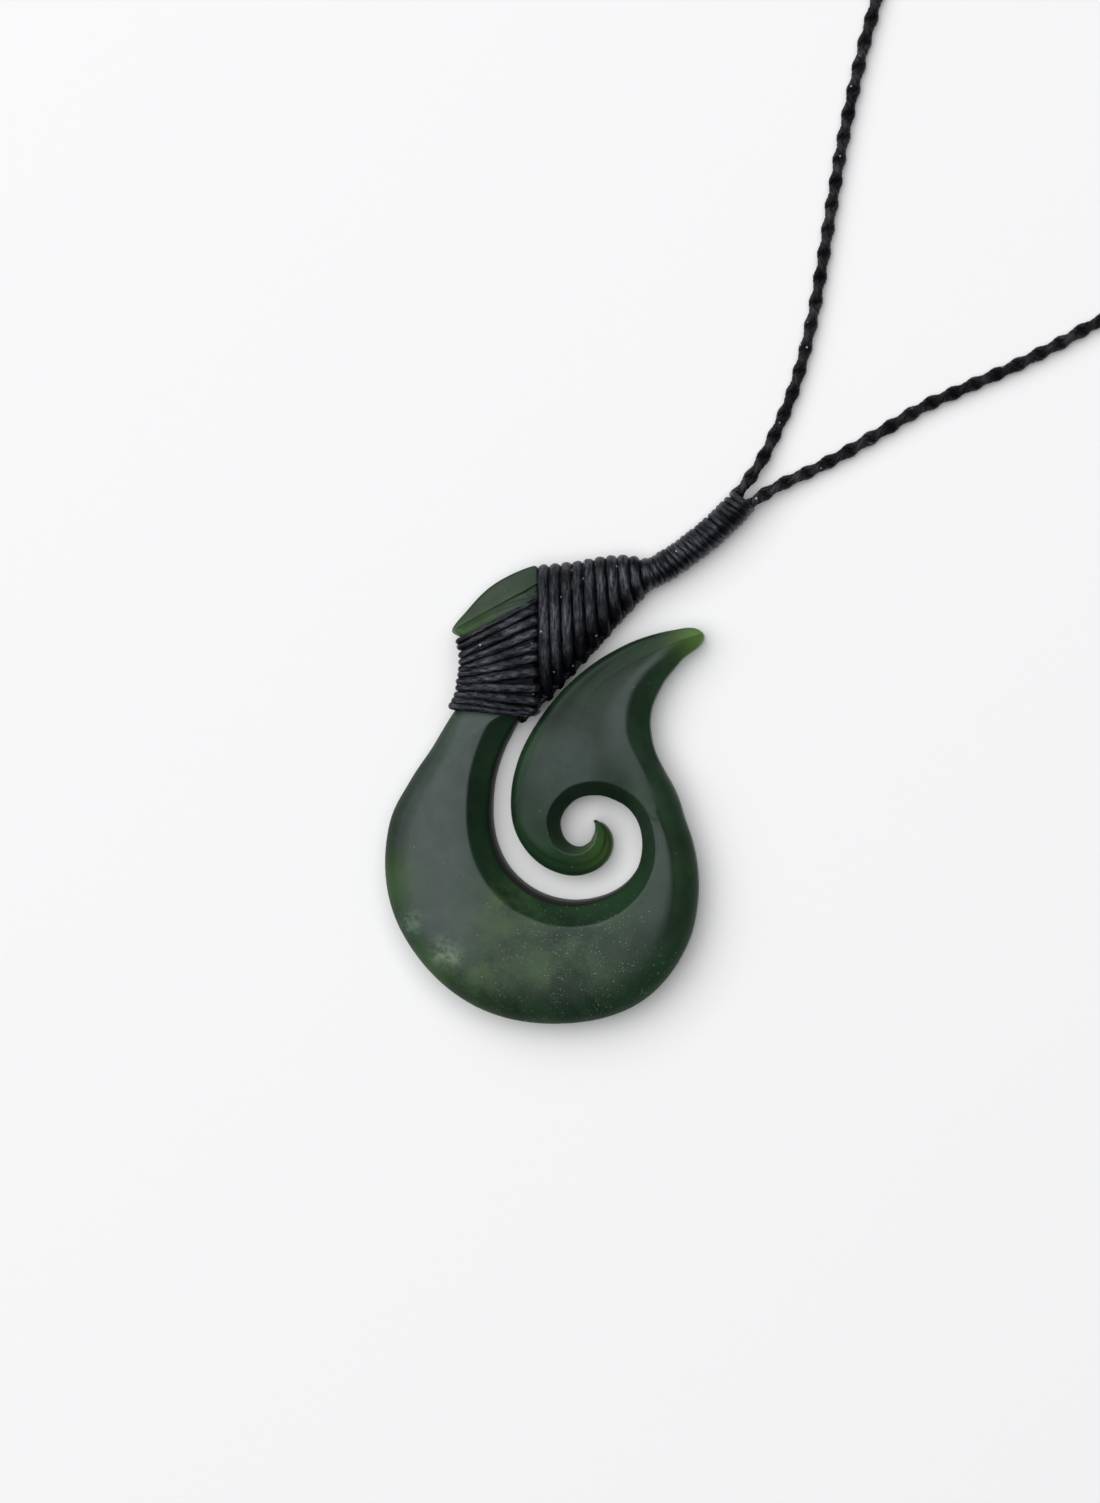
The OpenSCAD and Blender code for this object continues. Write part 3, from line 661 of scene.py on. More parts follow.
    def clouded(self, tree: Tree, mm: Node, under: Node, cloud: Cloud,
                where: bpy.types.NodeSocket | float = 1.0) -> Node:
        """Lays a ragged cloud of another colour, or of painted shade, over one place of the stone.

        Args:
            tree: The material's node tree.
            mm: Places in millimetres.
            under: The colour below.
            cloud: The cloud.
            where: Share of it that each place gets.

        Returns:
            The colour with the cloud.
        """
        away = add_node(tree, "VectorMath", {0: mm, 1: cloud.centre}, operation="DISTANCE")
        near = add_node(tree, "MapRange", {"Value": away, "From Min": cloud.reach, "From Max": 0.0},
                        interpolation_type="SMOOTHSTEP")
        rags = add_node(tree, "TexNoise", {
            "Vector": mm, "Scale": cloud.grain, "Detail": 7.0, "Roughness": 0.68, "Distortion": 0.3})
        torn = add_node(tree, "MapRange", {
            "Value": rags, "From Min": 0.34, "From Max": 0.68, "To Max": cloud.most},
            interpolation_type="SMOOTHSTEP")
        share = add_node(tree, "Math", {0: near, 1: torn}, operation="MULTIPLY")
        kept = add_node(tree, "Math", {0: share, 1: where}, operation="MULTIPLY", use_clamp=True)
        return add_node(tree, "Mix", {0: kept, 6: under, 7: linear(cloud.colour)}, data_type="RGBA")

    def specks(self, tree: Tree, mm: Node) -> Node:
        """Scatters fine pale mineral specks, thickest in the foot of the bend.

        Args:
            tree: The material's node tree.
            mm: Places in millimetres.

        Returns:
            How strongly a speck shows at each place.
        """
        # Specks are 0.1 to 0.2 mm across, and few of them are bright
        dots = add_node(tree, "TexVoronoi", {"Vector": mm, "Scale": 4.6})
        pick = add_node(tree, "SeparateColor", {"Color": dots.outputs["Color"]})
        size = add_node(tree, "MapRange", {"Value": pick.outputs["Blue"], "To Min": 0.18, "To Max": 0.44})
        dot = add_node(tree, "MapRange", {"Value": dots, "From Min": size, "From Max": 0.08},
                       interpolation_type="SMOOTHSTEP")
        away = add_node(tree, "VectorMath", {0: mm, 1: self.speck_middle}, operation="DISTANCE")
        crowd = add_node(tree, "MapRange", {
            "Value": away, "From Min": 15.0, "From Max": 3.0, "To Min": 0.02, "To Max": 1.1},
            interpolation_type="SMOOTHSTEP")
        # They gather in swarms 2 mm across
        swarm = add_node(tree, "TexNoise", {"Vector": mm, "Scale": 0.5, "Detail": 2.0, "Roughness": 0.6})
        dense = add_node(tree, "MapRange", {
            "Value": swarm, "From Min": 0.38, "From Max": 0.64, "To Min": 0.12},
            interpolation_type="SMOOTHSTEP")
        many = add_node(tree, "Math", {0: crowd, 1: dense}, operation="MULTIPLY")
        shown = add_node(tree, "Math", {0: pick.outputs["Red"], 1: many}, operation="LESS_THAN")
        share = add_node(tree, "Math", {0: dot, 1: shown}, operation="MULTIPLY")
        bright = add_node(tree, "MapRange", {
            "Value": pick.outputs["Green"], "From Min": 0.5, "To Min": 0.18, "To Max": 0.85})
        return add_node(tree, "Math", {0: share, 1: bright}, operation="MULTIPLY")


@dataclass(frozen=True)
class WaxedThread:
    """Polyester thread, twisted and drawn through wax.

    Black dye takes nearly all the light. The wax fills the fibres, so a turn has a soft sheen along it,
    whose bluish tint is painted cool light, and a few pale crumbs of wax and dust in its valleys.
    Painted shade darkens the valleys and the flanks.

    Args:
        name: The material's name.
        dye: Colour of the dyed fibres.
        worn: Their colour where they are rubbed, and on the crowns outside the painted shade.
        dust: Colour of the crumbs.
        rough: Roughness of the wax.
        sheen: How much the fibres' ends shimmer.
        mirror: Level of the mirror light on the crowns.
        gleam: Colour of that light, a bluish tint that is painted cool light.
        shimmer: Colour of the shimmer.
    """

    name: str
    dye: str = "#050506"
    worn: str = "#101115"
    dust: str = "#a9adb4"
    rough: float = 0.3
    sheen: float = 0.02
    mirror: float = 0.5
    gleam: str = "#e4e9fb"
    shimmer: str = "#a9b4d0"

    def make(self) -> Material:
        """Builds the material.

        Returns:
            The finished material.
        """
        made, tree, mm = empty_material(self.name)
        valley_shade, along, around = (add_node(tree, "Attribute", attribute_name=name).outputs["Fac"]
                                 for name in ("valley_shade", "along", "around"))
        # Single fibres are 0.02 mm thick, so bundles of 0.3 mm are drawn, which run along the thread
        lengthways = add_node(tree, "CombineXYZ", {"X": along, "Y": around})
        drawn_out = add_node(tree, "VectorMath", {0: lengthways, 1: (0.8, 3.6, 1.0)}, operation="MULTIPLY")
        fibres = add_node(tree, "TexNoise", {
            "Vector": drawn_out, "Scale": 1.0, "Detail": 4.0, "Roughness": 0.7})
        # The crowns take the lighter worn colour where they are rubbed and outside the painted valley shade
        uneven = add_node(tree, "TexNoise", {"Vector": mm, "Scale": 0.7, "Detail": 2.0})
        rubbed = add_node(tree, "MapRange", {"Value": uneven, "From Min": 0.35, "From Max": 0.7})
        crown = add_node(tree, "Math", {0: valley_shade, 1: -1.2, 2: rubbed}, operation="MULTIPLY_ADD",
                         use_clamp=True)
        black = add_node(tree, "Mix", {0: crown, 6: linear(self.dye), 7: linear(self.worn)},
                         data_type="RGBA")
        # Crumbs of wax are 0.15 mm across and about 4 mm apart
        crumbs = add_node(tree, "TexVoronoi", {"Vector": mm, "Scale": 0.9})
        crumb = add_node(tree, "MapRange", {"Value": crumbs, "From Min": 0.13, "From Max": 0.07})
        pick = add_node(tree, "SeparateColor", {"Color": crumbs.outputs["Color"]})
        few = add_node(tree, "Math", {0: pick.outputs["Red"], 1: 0.4}, operation="LESS_THAN")
        dusty = add_node(tree, "Math", {0: crumb, 1: few}, operation="MULTIPLY")
        colour = add_node(tree, "Mix", {0: dusty, 6: black, 7: linear(self.dust)}, data_type="RGBA")
        rough = add_node(tree, "Math", {0: fibres, 1: 0.24, 2: self.rough - 0.12}, operation="MULTIPLY_ADD")
        bump = add_node(tree, "Bump", {"Height": fibres, "Strength": 1.0, "Distance": 0.2 * MM})
        # Wax lies on the crowns in uneven patches 3 mm across, and hardly in the valleys; the lower mirror
        # level there is also painted shade
        waxed = add_node(tree, "MapRange", {
            "Value": valley_shade, "From Min": 0.1, "From Max": 0.9, "To Min": self.mirror,
            "To Max": self.mirror * 0.12})
        patches = add_node(tree, "TexNoise", {"Vector": mm, "Scale": 0.3, "Detail": 2.0})
        patchy = add_node(tree, "MapRange", {
            "Value": patches, "From Min": 0.36, "From Max": 0.64, "To Min": 0.45, "To Max": 1.5})
        strand = add_node(tree, "MapRange", {
            "Value": fibres, "From Min": 0.38, "From Max": 0.62, "To Min": 0.25, "To Max": 1.9})
        partly = add_node(tree, "Math", {0: waxed, 1: patchy}, operation="MULTIPLY")
        gloss = add_node(tree, "Math", {0: partly, 1: strand}, operation="MULTIPLY")
        shell = add_node(tree, "BsdfPrincipled", {
            "Base Color": colour, "Roughness": rough, "IOR": 1.5, "Specular IOR Level": gloss,
            "Specular Tint": linear(self.gleam), "Normal": bump, "Sheen Weight": self.sheen,
            "Sheen Roughness": 0.5, "Sheen Tint": linear(self.shimmer)})
        add_node(tree, "OutputMaterial", {"Surface": shell})
        return made


@dataclass(frozen=True)
class PaintedBoard:
    """The matt white board that the pendant lies on, sprayed with flat paint.

    Args:
        name: The material's name.
        white: Colour of the paint.
        rough: Its roughness.
    """

    name: str = "white_board_flat_painted"
    white: str = "#f1f1f2"
    rough: float = 0.75

    def make(self) -> Material:
        """Builds the material.

        Returns:
            The finished material.
        """
        made, tree, mm = empty_material(self.name)
        # The orange peel of sprayed paint, 2 mm across
        peel = add_node(tree, "TexNoise", {"Vector": mm, "Scale": 0.5, "Detail": 2.0})
        bump = add_node(tree, "Bump", {"Height": peel, "Strength": 0.05, "Distance": 0.05 * MM})
        shell = add_node(tree, "BsdfPrincipled", {
            "Base Color": linear(self.white), "Roughness": self.rough, "Normal": bump})
        add_node(tree, "OutputMaterial", {"Surface": shell})
        return made


# The stone


class Stretch(Enum):
    """Stretches of the hook, as the places where each begins, is in full, begins to fade and is gone."""

    CREST = (0.2, 0.9, 5.0, 5.8)
    HIDDEN_HEAD = (1.5, 3.0, 5.7, 7.0)
    SHANK = (8.0, 9.0, 13.5, 15.5)
    SAWN_WALL = (8.5, 10.0, 16.5, 18.5)
    SAWN_MIDDLE = (11.5, 13.5, 14.5, 16.5)
    HIGHLIT_FOOT = (14.0, 15.5, 17.5, 19.0)
    BEVELLED_END = (19.5, 21.5, 29.5, 31.0)
    LEAF_FACE = (20.0, 22.0, 40.0, 42.0)
    BARB = (20.6, 22.4, 27.2, 28.0)
    POINT = (26.0, 26.4, 29.6, 30.0)
    LEAF_ROUNDING = (28.5, 30.0, 35.5, 38.0)
    ARM = (35.0, 37.5, 41.0, 43.0)
    HIGHLIT_KORU = (35.0, 36.5, 40.5, 41.5)

    def share(self, t: Array) -> Array:
        """How much each place along the hook belongs to the stretch, from 0 to 1."""
        begins, full, fades, gone = self.value
        return ease(begins, full, t) * (1 - ease(fades, gone, t))


@dataclass(frozen=True)
class HookForm:
    """The carved hook as functions of the place along it, with the sizes of the part's source.

    A place is a row of the hook's table. Sections run across the hook from its inner to its outer edge.

    Args:
        height: Height of the stone.
        width: Its width.
        thickness: Its thickness at the bend.
        neck_thickness: Its thickness at the neck.
        neck_back: How far the back lifts under the neck.
        bevel: Width of the bevels.
        back_round: Radius of the back's edges.
        dome: How far the front bulges.
        rest_reach: How far the spiral's eye lies above the origin, as a share of the height.
        inner_wall: Height of the inner wall, as a share of the edge's thickness.
        outer_wall: Height of the outer wall, as a share of the edge's thickness.
        hollow: How hollow the inner bevel is, as a share of its width.
        crest_rows: Row where the crest ends.
        crest_bend: How far across the head its section bends.
        nudge: How far along the hook its direction is measured.
    """

    height: float = 50.0
    width: float = 34.8
    thickness: float = 6.0
    neck_thickness: float = 3.4
    neck_back: float = 1.4
    bevel: float = 2.6
    back_round: float = 0.5
    dome: float = 0.2
    rest_reach: float = 0.278
    inner_wall: float = 0.55
    outer_wall: float = 0.66
    hollow: float = 0.05
    crest_rows: float = 5.0
    crest_bend: float = 0.25
    nudge: float = 0.02

    def raw_edge(self, t: Array, turn: Cut, reach: Cut) -> Array:
        """One edge in plan, before it gets its real size."""
        row = at_rows(HOOK, t)
        return row[:, reach, None] * heading(np.radians(row[:, turn]))

    def scale(self) -> Array:
        """How much the two edges grow along x and y to the hook's real size."""
        raw = self.raw_edge(np.arange(0, (len(HOOK) - 1) * 3 + 1) / 3, Cut.OUT_TURN, Cut.OUT_REACH)
        return np.array([self.width, self.height]) / (raw.max(axis=0) - raw.min(axis=0))

    def eye(self) -> Array:
        """The middle of the spiral's eye in plan."""
        return np.array([0, self.rest_reach * self.height])

    def inner_edge(self, t: Array) -> Array:
        """The edge towards the spiral's eye, in plan."""
        return self.eye() + self.raw_edge(t, Cut.IN_TURN, Cut.IN_REACH) * self.scale()

    def outer_edge(self, t: Array) -> Array:
        """The edge away from the spiral's eye, in plan."""
        return self.eye() + self.raw_edge(t, Cut.OUT_TURN, Cut.OUT_REACH) * self.scale()

    def inner_normal(self, t: Array) -> Array:
        """Directions from the inner edge into the stone."""
        d = unit(self.inner_edge(t + self.nudge) - self.inner_edge(t - self.nudge))
        return np.stack([d[:, 1], -d[:, 0]], axis=1)

    def outer_normal(self, t: Array) -> Array:
        """Directions from the outer edge into the stone."""
        d = unit(self.outer_edge(t + self.nudge) - self.outer_edge(t - self.nudge))
        return np.stack([-d[:, 1], d[:, 0]], axis=1)

    def back(self, t: Array) -> Array:
        """Height of the back, which lifts under the neck."""
        return at_rows(HOOK, t)[:, Cut.NECK] * self.neck_back

    def front(self, t: Array, thick: Cut) -> Array:
        """Height of the front at one edge, without the dome."""
        row = at_rows(HOOK, t)
        return mix(row[:, thick] * self.thickness, self.neck_back + self.neck_thickness, row[:, Cut.NECK])

    def rise(self, t: Array) -> Array:
        """Rise of the dome in the middle of a section."""
        return self.dome * (1 - at_rows(HOOK, t)[:, Cut.NECK])

    def middle(self, t: Array) -> Array:
        """Finds where a section bends on its way across.

        Args:
            t: Places along the hook.

        Returns:
            For each place a point in plan with the front's height there.
        """
        row, leaf = at_rows(HOOK, t), t - LEAF_ROW
        bend = at_rows(LEAF, leaf)
        inside = (leaf > 0) & (leaf < len(LEAF) - 1)
        across = np.minimum(0.5, self.crest_bend * np.maximum(1, 1 + t - self.crest_rows))
        turn = np.where(inside, bend[:, Bend.TURN], mix(row[:, Cut.IN_TURN], row[:, Cut.OUT_TURN], across))
        reach = np.where(inside, bend[:, Bend.REACH],
                         mix(row[:, Cut.IN_REACH], row[:, Cut.OUT_REACH], across))
        front = np.where(inside, bend[:, Bend.THICK] * self.thickness,
                         (self.front(t, Cut.IN_THICK) + self.front(t, Cut.OUT_THICK)) / 2)
        plan = self.eye() + reach[:, None] * heading(np.radians(turn)) * self.scale()
        return raised(plan, front + self.rise(t))


@dataclass(frozen=True)
class StoneHook:
    """The carved stone, cut finer than its solid and with the ridges that the carver left.

    Args:
        form: The hook's form.
        steps: Sections between two rows of the table.
        ridge_round: How much the inner bevel's ridge is worn round.
        barb_round: The same on the barb's softer ridge.
        leaf_narrow: How much narrower the leaf's outer rounding is than in the solid.
        crease_from: Left end of the crest's straight crease in plan.
        crease_to: Right end of that crease.
        crease_step: How far the facet below the crease is cut down.
        arm_slope: How far the spiral's arm falls from its ridge to its outer edge.
        head_in: How much further the head goes in under the upper lashing than the solid's.
        wall_slant: How far the sawn inner wall of the shank and the bend leans.
        wall_low: How far below the inner bevel's foot the sawn wall begins to round.
        edge_hollow: How hollow a bevelled outer edge is, as a share of its height.
        edge_low: How far below the outer slope its wall begins.
        steepest: The steepest fall of the face that its rounding still follows.
        ridge_highlight: How strong the painted highlight on the inner ridge is along the foot of the bend.
        face_passes: How often the leaf's face is evened out.
        level_passes: How often its heights are evened out after that.
        edge_passes: How often the outer edges' top is evened out.
        point_passes: How often the bevel at the barb's point is evened out.
        tip_row: Row of the hook's table with the barb's point.
        tip_full: How much fuller the point's end is than a sharp wedge.
        tip_long: Length over which it is fuller.
        ripple: Height of the hand's unevenness on the faces.
        ripple_wide: Width of its waves.
        koru_tip: The spiral's tip in plan, whose painted glow falls on the arm alone.
        koru_near: How far round it the rest of the stone gets no painted glow.
        arm_row: Row of the hook's table where the arm begins.
    """

    form: HookForm
    steps: int = 12
    ridge_round: float = 0.14
    barb_round: float = 1.2
    leaf_narrow: float = 0.4
    crease_from: tuple[float, float] = (-13.9, 36.4)
    crease_to: tuple[float, float] = (-4.67, 41.45)
    crease_step: float = 0.42
    arm_slope: float = 0.45
    head_in: float = 0.9
    wall_slant: float = 0.3
    wall_low: float = 0.16
    edge_hollow: float = 0.12
    edge_low: float = 0.12
    steepest: float = 0.3
    ridge_highlight: float = 0.7
    face_passes: int = 8
    level_passes: int = 1600
    edge_passes: int = 3
    point_passes: int = 12
    tip_row: float = 28.0
    tip_full: float = 1.1
    tip_long: float = 3.4
    ripple: float = 0.035
    ripple_wide: float = 5.0
    koru_tip: tuple[float, float] = (3.1, 12.8)
    koru_near: float = 5.5
    arm_row: float = 36.0

    def build(self) -> Skin:
        """Cuts the sections and keeps what the finish needs to know at each point.

        Returns:
            The stone's skin.
        """
        t = np.arange((len(HOOK) - 1) * self.steps + 1) / self.steps
        cut = Sections(self, t)
        cut.inner_side()
        ridge = cut.inner_ridge()
        first_face = cut.front_face()
        last_face = cut.outer_ridge()
        last_slope = cut.outer_side()
        cut.flat_back()

        rings = np.stack(cut.points, axis=1)
        # The laps that ran over the leaf, over the plain outer edges and over the barb's point
        rings = self.relaxed(rings, slice(first_face, last_face + 2), Stretch.LEAF_FACE.share(t),
                             self.face_passes, self.level_passes)
        plain = (1 - ease(0.0, 0.2, cut.crest)) * (1 - Stretch.BEVELLED_END.share(t))
        rings = self.relaxed(rings, slice(last_face - 4, last_slope), plain,
                             self.edge_passes, 2 * self.edge_passes)
        rings = self.relaxed(rings, slice(last_face - 5, last_slope - 4), Stretch.POINT.share(t),
                             self.point_passes, self.point_passes)
        rings = self.blunt_tip(rings, t)
        lap = np.stack(cut.laps, axis=1)
        # The grey veil on the lapped faces: satin with painted reflection of the soft box
        haze_and_sheen = np.maximum(lap, 0) * self.haze_and_sheen(rings)
        # A painted highlight lies on the inner ridge as a fine light line along the foot of the bend and
        # round the koru
        rubbed = self.ridge_highlight * Stretch.HIGHLIT_FOOT.share(t) + Stretch.HIGHLIT_KORU.share(t)
        haze_and_sheen[:, ridge] = np.maximum(haze_and_sheen[:, ridge], rubbed[:, None])
        values = {"haze_and_sheen": haze_and_sheen, "lap": np.clip(lap, -1, 1), "painted_glow_share": self.painted_glow(rings)}
        return Skin(self.hand_worked(rings, slice(first_face, last_face)), values)

    def relaxed(self, rings: Array, lines: slice, where: Array, passes: int, levels: int) -> Array:
        """Evens out lines of points along the hook, as a lap that runs over them would.

        Args:
            rings: The stone's points.
            lines: The lines.
            where: How much each section takes part.
            passes: How often the points are moved.
            levels: How often only their heights are moved after that.

        Returns:
            The points, with those of the lines moved to the middle of their neighbours.
        """
        made = rings.copy()
        share = where[1:-1, None, None]
        first, last = lines.start, lines.stop

        def around() -> list[Array]:
            """The four neighbours of each point."""
            return [made[:-2, first:last], made[2:, first:last],
                    made[1:-1, first - 1:last - 1], made[1:-1, first + 1:last + 1]]

        for _ in range(passes):
            inner = made[1:-1, first:last]
            made[1:-1, first:last] = inner + (sum(around()) / 4 - inner) * share
        # Near neighbours weigh more in the heights, and 0.03 mm keeps a touching one in bounds
        inner = made[1:-1, first:last]
        weights = [1 / (np.linalg.norm((p - inner)[..., :2], axis=2) + 0.03) for p in around()]
        whole = sum(weights)
        for _ in range(levels):
            inner = made[1:-1, first:last, 2]
            level = sum(w * p[..., 2] for w, p in zip(weights, around())) / whole
            made[1:-1, first:last, 2] = inner + (level - inner) * share[..., 0]
        return made

    def blunt_tip(self, rings: Array, t: Array) -> Array:
        """Fills out the barb's sharp point in plan to the blunt round end that the photo shows.

        Args:
            rings: The stone's points.
            t: The place of each ring along the hook.

        Returns:
            The points, with those near the point moved away from the point's middle line.
        """
        apex, below, above = self.form.outer_edge(self.tip_row + np.array([0, -0.9, 0.9]))
        low, high = unit(below - apex), unit(above - apex)
        back = unit(low + high)
        wedge = math.tan(math.acos(float(np.clip(low @ back, -1, 1))))
        side = np.array([-back[1], back[0]])
        made = rings.copy()
        close = np.abs(t - self.tip_row) < 4
        plan = made[close][:, :, :2] - apex
        depth, across = np.maximum(plan @ back, 0), plan @ side
        fuller = self.tip_full * np.sqrt(depth) * np.clip(1 - depth / self.tip_long, 0, 1) ** 2
        # The flank on the right is filled out twice as much as the one on the left
        fuller = fuller * np.where(across > 0, 1.0, 0.5)
        share = across / np.maximum(depth * wedge, 1e-3)
        touched = (np.linalg.norm(plan, axis=2) < 1.5 * self.tip_long) & (np.abs(share) < 1.3)
        made[close, :, :2] += np.where(touched, share * fuller, 0)[..., None] * side
        return made

    def hand_worked(self, rings: Array, face: slice) -> Array:
        """Adds the slight unevenness of a face that was worked by hand.

        Args:
            rings: The stone's points.
            face: The lines of the front face.

        Returns:
            The points, with the face moved up or down by less than the ripple.
        """
        made = rings.copy()
        part = made[:, face]
        waves = [noise.noise(Vector(p / self.ripple_wide)) for p in part.reshape(-1, 3)]
        part[:, :, 2] += self.ripple * np.reshape(waves, part.shape[:2]) * ease(2.0, 4.0, part[:, :, 2])
        return made

    def haze_and_sheen(self, rings: Array) -> Array:
        """Reads the grey veil, the satin of the last lap with painted reflection of the soft box, from the
        ovals of its table.

        Args:
            rings: The stone's points.

        Returns:
            A share from 0 to 1 for each point.
        """
        clear = np.ones(rings.shape[:2])
        for spot in HAZE_AND_SHEEN:
            away = rings[:, :, :2] - np.array(spot[:2])
            ahead = heading(math.radians(spot[HazeAndSheen.TURN]))
            reach = np.hypot(away @ ahead / spot[HazeAndSheen.WIDE],
                             away @ np.array([-ahead[1], ahead[0]]) / spot[HazeAndSheen.TALL])
            clear *= 1 - spot[HazeAndSheen.STRENGTH] * (1 - ease(0.25, 1.35, reach))
        return 1 - clear

    def painted_glow(self, rings: Array) -> Array:
        """How strong the painted glow is, which stands for light through the stone at its three tips and in
        the crest.

        Args:
            rings: The stone's points.

        Returns:
            A share from 0 to 1 for each point.
        """
        through = np.zeros(rings.shape[:2])
        for x, y, reach, most in PAINTED_GLOW_PLACES:
            away = np.linalg.norm(rings[:, :, :2] - np.array([x, y]), axis=2)
            through = np.maximum(through, most * (1 - ease(0.0, reach, away)) ** 1.5)
        # Other parts of the hook that pass close by the koru's tip are thick, so they get no painted glow
        near_koru = np.linalg.norm(rings[:, :, :2] - np.array(self.koru_tip), axis=2) < self.koru_near
        arm = np.arange(len(rings))[:, None] / self.steps > self.arm_row
        return np.where(near_koru & ~arm, 0.0, through)

    def dress(self, finish: Material) -> bpy.types.Object:
        """Makes the stone in the place of its solid."""
        return make_piece("stone_carving", [self.build()], finish, "stone_hook")


class Sections:
    """All sections of the stone at once, as lines of points that run along the hook.

    Each line is one place on the way round a section, and has a share for its finish: 1 is lapped, 0 is
    polished and -1 is sawn.
    """

    def __init__(self, hook: StoneHook, t: Array) -> None:
        """Works out the edges, heights and bevels of every section.

        Args:
            hook: The stone and its sizes.
            t: Places along the hook.
        """
        f, row = hook.form, at_rows(HOOK, t)
        self.hook, self.form, self.points, self.laps = hook, f, [], []
        self.crest, self.shank, self.barb, self.arm, leafy = (
            stretch.share(t) for stretch in (
                Stretch.CREST, Stretch.SHANK, Stretch.BARB, Stretch.ARM, Stretch.LEAF_ROUNDING))
        self.crisp, self.leafy = np.maximum(self.crest, self.barb), leafy
        self.slant = hook.wall_slant * Stretch.SAWN_WALL.share(t) * (1 + Stretch.SAWN_MIDDLE.share(t))
        self.a, self.b = f.inner_edge(t), f.outer_edge(t)
        self.into_a, self.into_b = f.inner_normal(t), f.outer_normal(t)
        self.a[:, 0] += hook.head_in * Stretch.HIDDEN_HEAD.share(t)
        self.wide_a, wide_b = row[:, Cut.IN_BEVEL] * f.bevel, row[:, Cut.OUT_BEVEL] * f.bevel
        self.round_a, self.round_b = np.minimum(f.back_round, self.wide_a), np.minimum(f.back_round, wide_b)
        self.back, self.front_a, self.front_b = f.back(t), f.front(t, Cut.IN_THICK), f.front(t, Cut.OUT_THICK)
        self.foot = mix(self.back, self.front_a, f.inner_wall)
        self.drop = (self.front_b - self.back) * (1 - f.outer_wall)
        # The face ends at the outer bevel, but on the head it ends at the crest's straight crease
        rows = np.clip(t - BARB_ROW, 0, len(BARB_WIDTH) - 1)
        narrow = wide_b * (at_rows(BARB_WIDTH, rows)[:, 0] - hook.leaf_narrow * leafy)
        left, right = np.array(hook.crease_from), np.array(hook.crease_to)
        n = np.array([left[1] - right[1], right[0] - left[0]])
        crease = np.clip(((left - self.a) @ n) / ((self.b - self.a) @ n), 0.02, 0.96)
        self.start = mix(self.b + self.into_b * narrow[:, None],
                         mix(self.a, self.b, crease[:, None]), self.crest[:, None])
        self.mid, self.ridge, self.top = f.middle(t), self.inner_bevel(1), raised(self.start, self.front_b)
        first, second = (np.linalg.norm(side - self.mid, axis=1) for side in (self.ridge, self.top))
        self.v_mid = first / (first + second)
        self.run = np.linalg.norm(self.top - self.ridge, axis=1)
        self.near = np.clip(hook.ridge_round / self.run, 0.004, 0.2)
        # The rounding leaves the face at the face's own slope
        edge, inside = self.face(1.0), self.face(0.96)
        fall = (inside[:, 2] - edge[:, 2]) / np.linalg.norm(inside[:, :2] - edge[:, :2], axis=1)
        slip = np.clip(fall, 0, hook.steepest) * np.linalg.norm(self.start - self.b, axis=1)
        self.slip, self.front_edge = slip * (1 - self.crest), edge[:, 2]

    def put(self, p: Array, share: float | Array = 0.0) -> None:
        """Adds one line of points with its share."""
        self.points.append(p)
        self.laps.append(np.broadcast_to(share, (len(p),)))

    def from_inner(self, away: Array, z: Array) -> Array:
        """Points this far from the inner edge, with their heights."""
        return raised(self.a + self.into_a * away[:, None], z)

    def from_outer(self, away: Array, z: Array) -> Array:
        """Points this far from the outer edge, with their heights."""
        return raised(self.b + self.into_b * away[:, None], z)

    def inner_bevel(self, share: float) -> Array:
        """A point on the hollowed inner bevel, from its foot to its ridge."""
        sag = self.form.hollow * self.wide_a * 4 * share * (1 - share)
        return self.from_inner(mix(self.slant, self.wide_a, share), mix(self.foot, self.front_a, share) - sag)

    def face(self, v: Array | float) -> Array:
        """Finds points on the front face, on the curve through the ridge, the bend and the outer edge.

        Args:
            v: How far across the face they lie, from 0 at the ridge to 1 at the outer edge.

        Returns:
            The points.
        """
        v, m = np.broadcast_to(v, self.v_mid.shape), self.v_mid
        first = ((v - m) * (v - 1) / m)[:, None] * self.ridge
        second = (v * (v - 1) / (m * (m - 1)))[:, None] * self.mid
        third = (v * (v - m) / (1 - m))[:, None] * self.top
        p = first + second + third
        p[:, 2] -= self.hook.crease_step * self.crest * (1 - ease(0.88, 1.0, v))
        # The spiral's arm has no flat face, but slopes outward from its ridge
        p[:, 2] -= self.hook.arm_slope * self.arm * v
        return p

    def outer_slope(self, share: float) -> Array:
        """Finds points on the outer edge, which is rounded, but has a bevel on the crest and the barb.

        Args:
            share: How far down they lie, from 0 at the face to 1 at the wall.

        Returns:
            The points.
        """
        corner = raised(self.b, self.front_edge - np.minimum(self.slip, 0.8 * self.drop))
        rounded = curve(raised(self.start, self.front_edge), corner,
                        raised(self.b, self.front_b - self.drop), share)
        sag = self.hook.edge_hollow * self.drop * 4 * share * (1 - share)
        cut = raised(mix(self.start, self.b, share), self.front_b - self.drop * share - sag)
        return mix(rounded, cut, self.crisp[:, None])

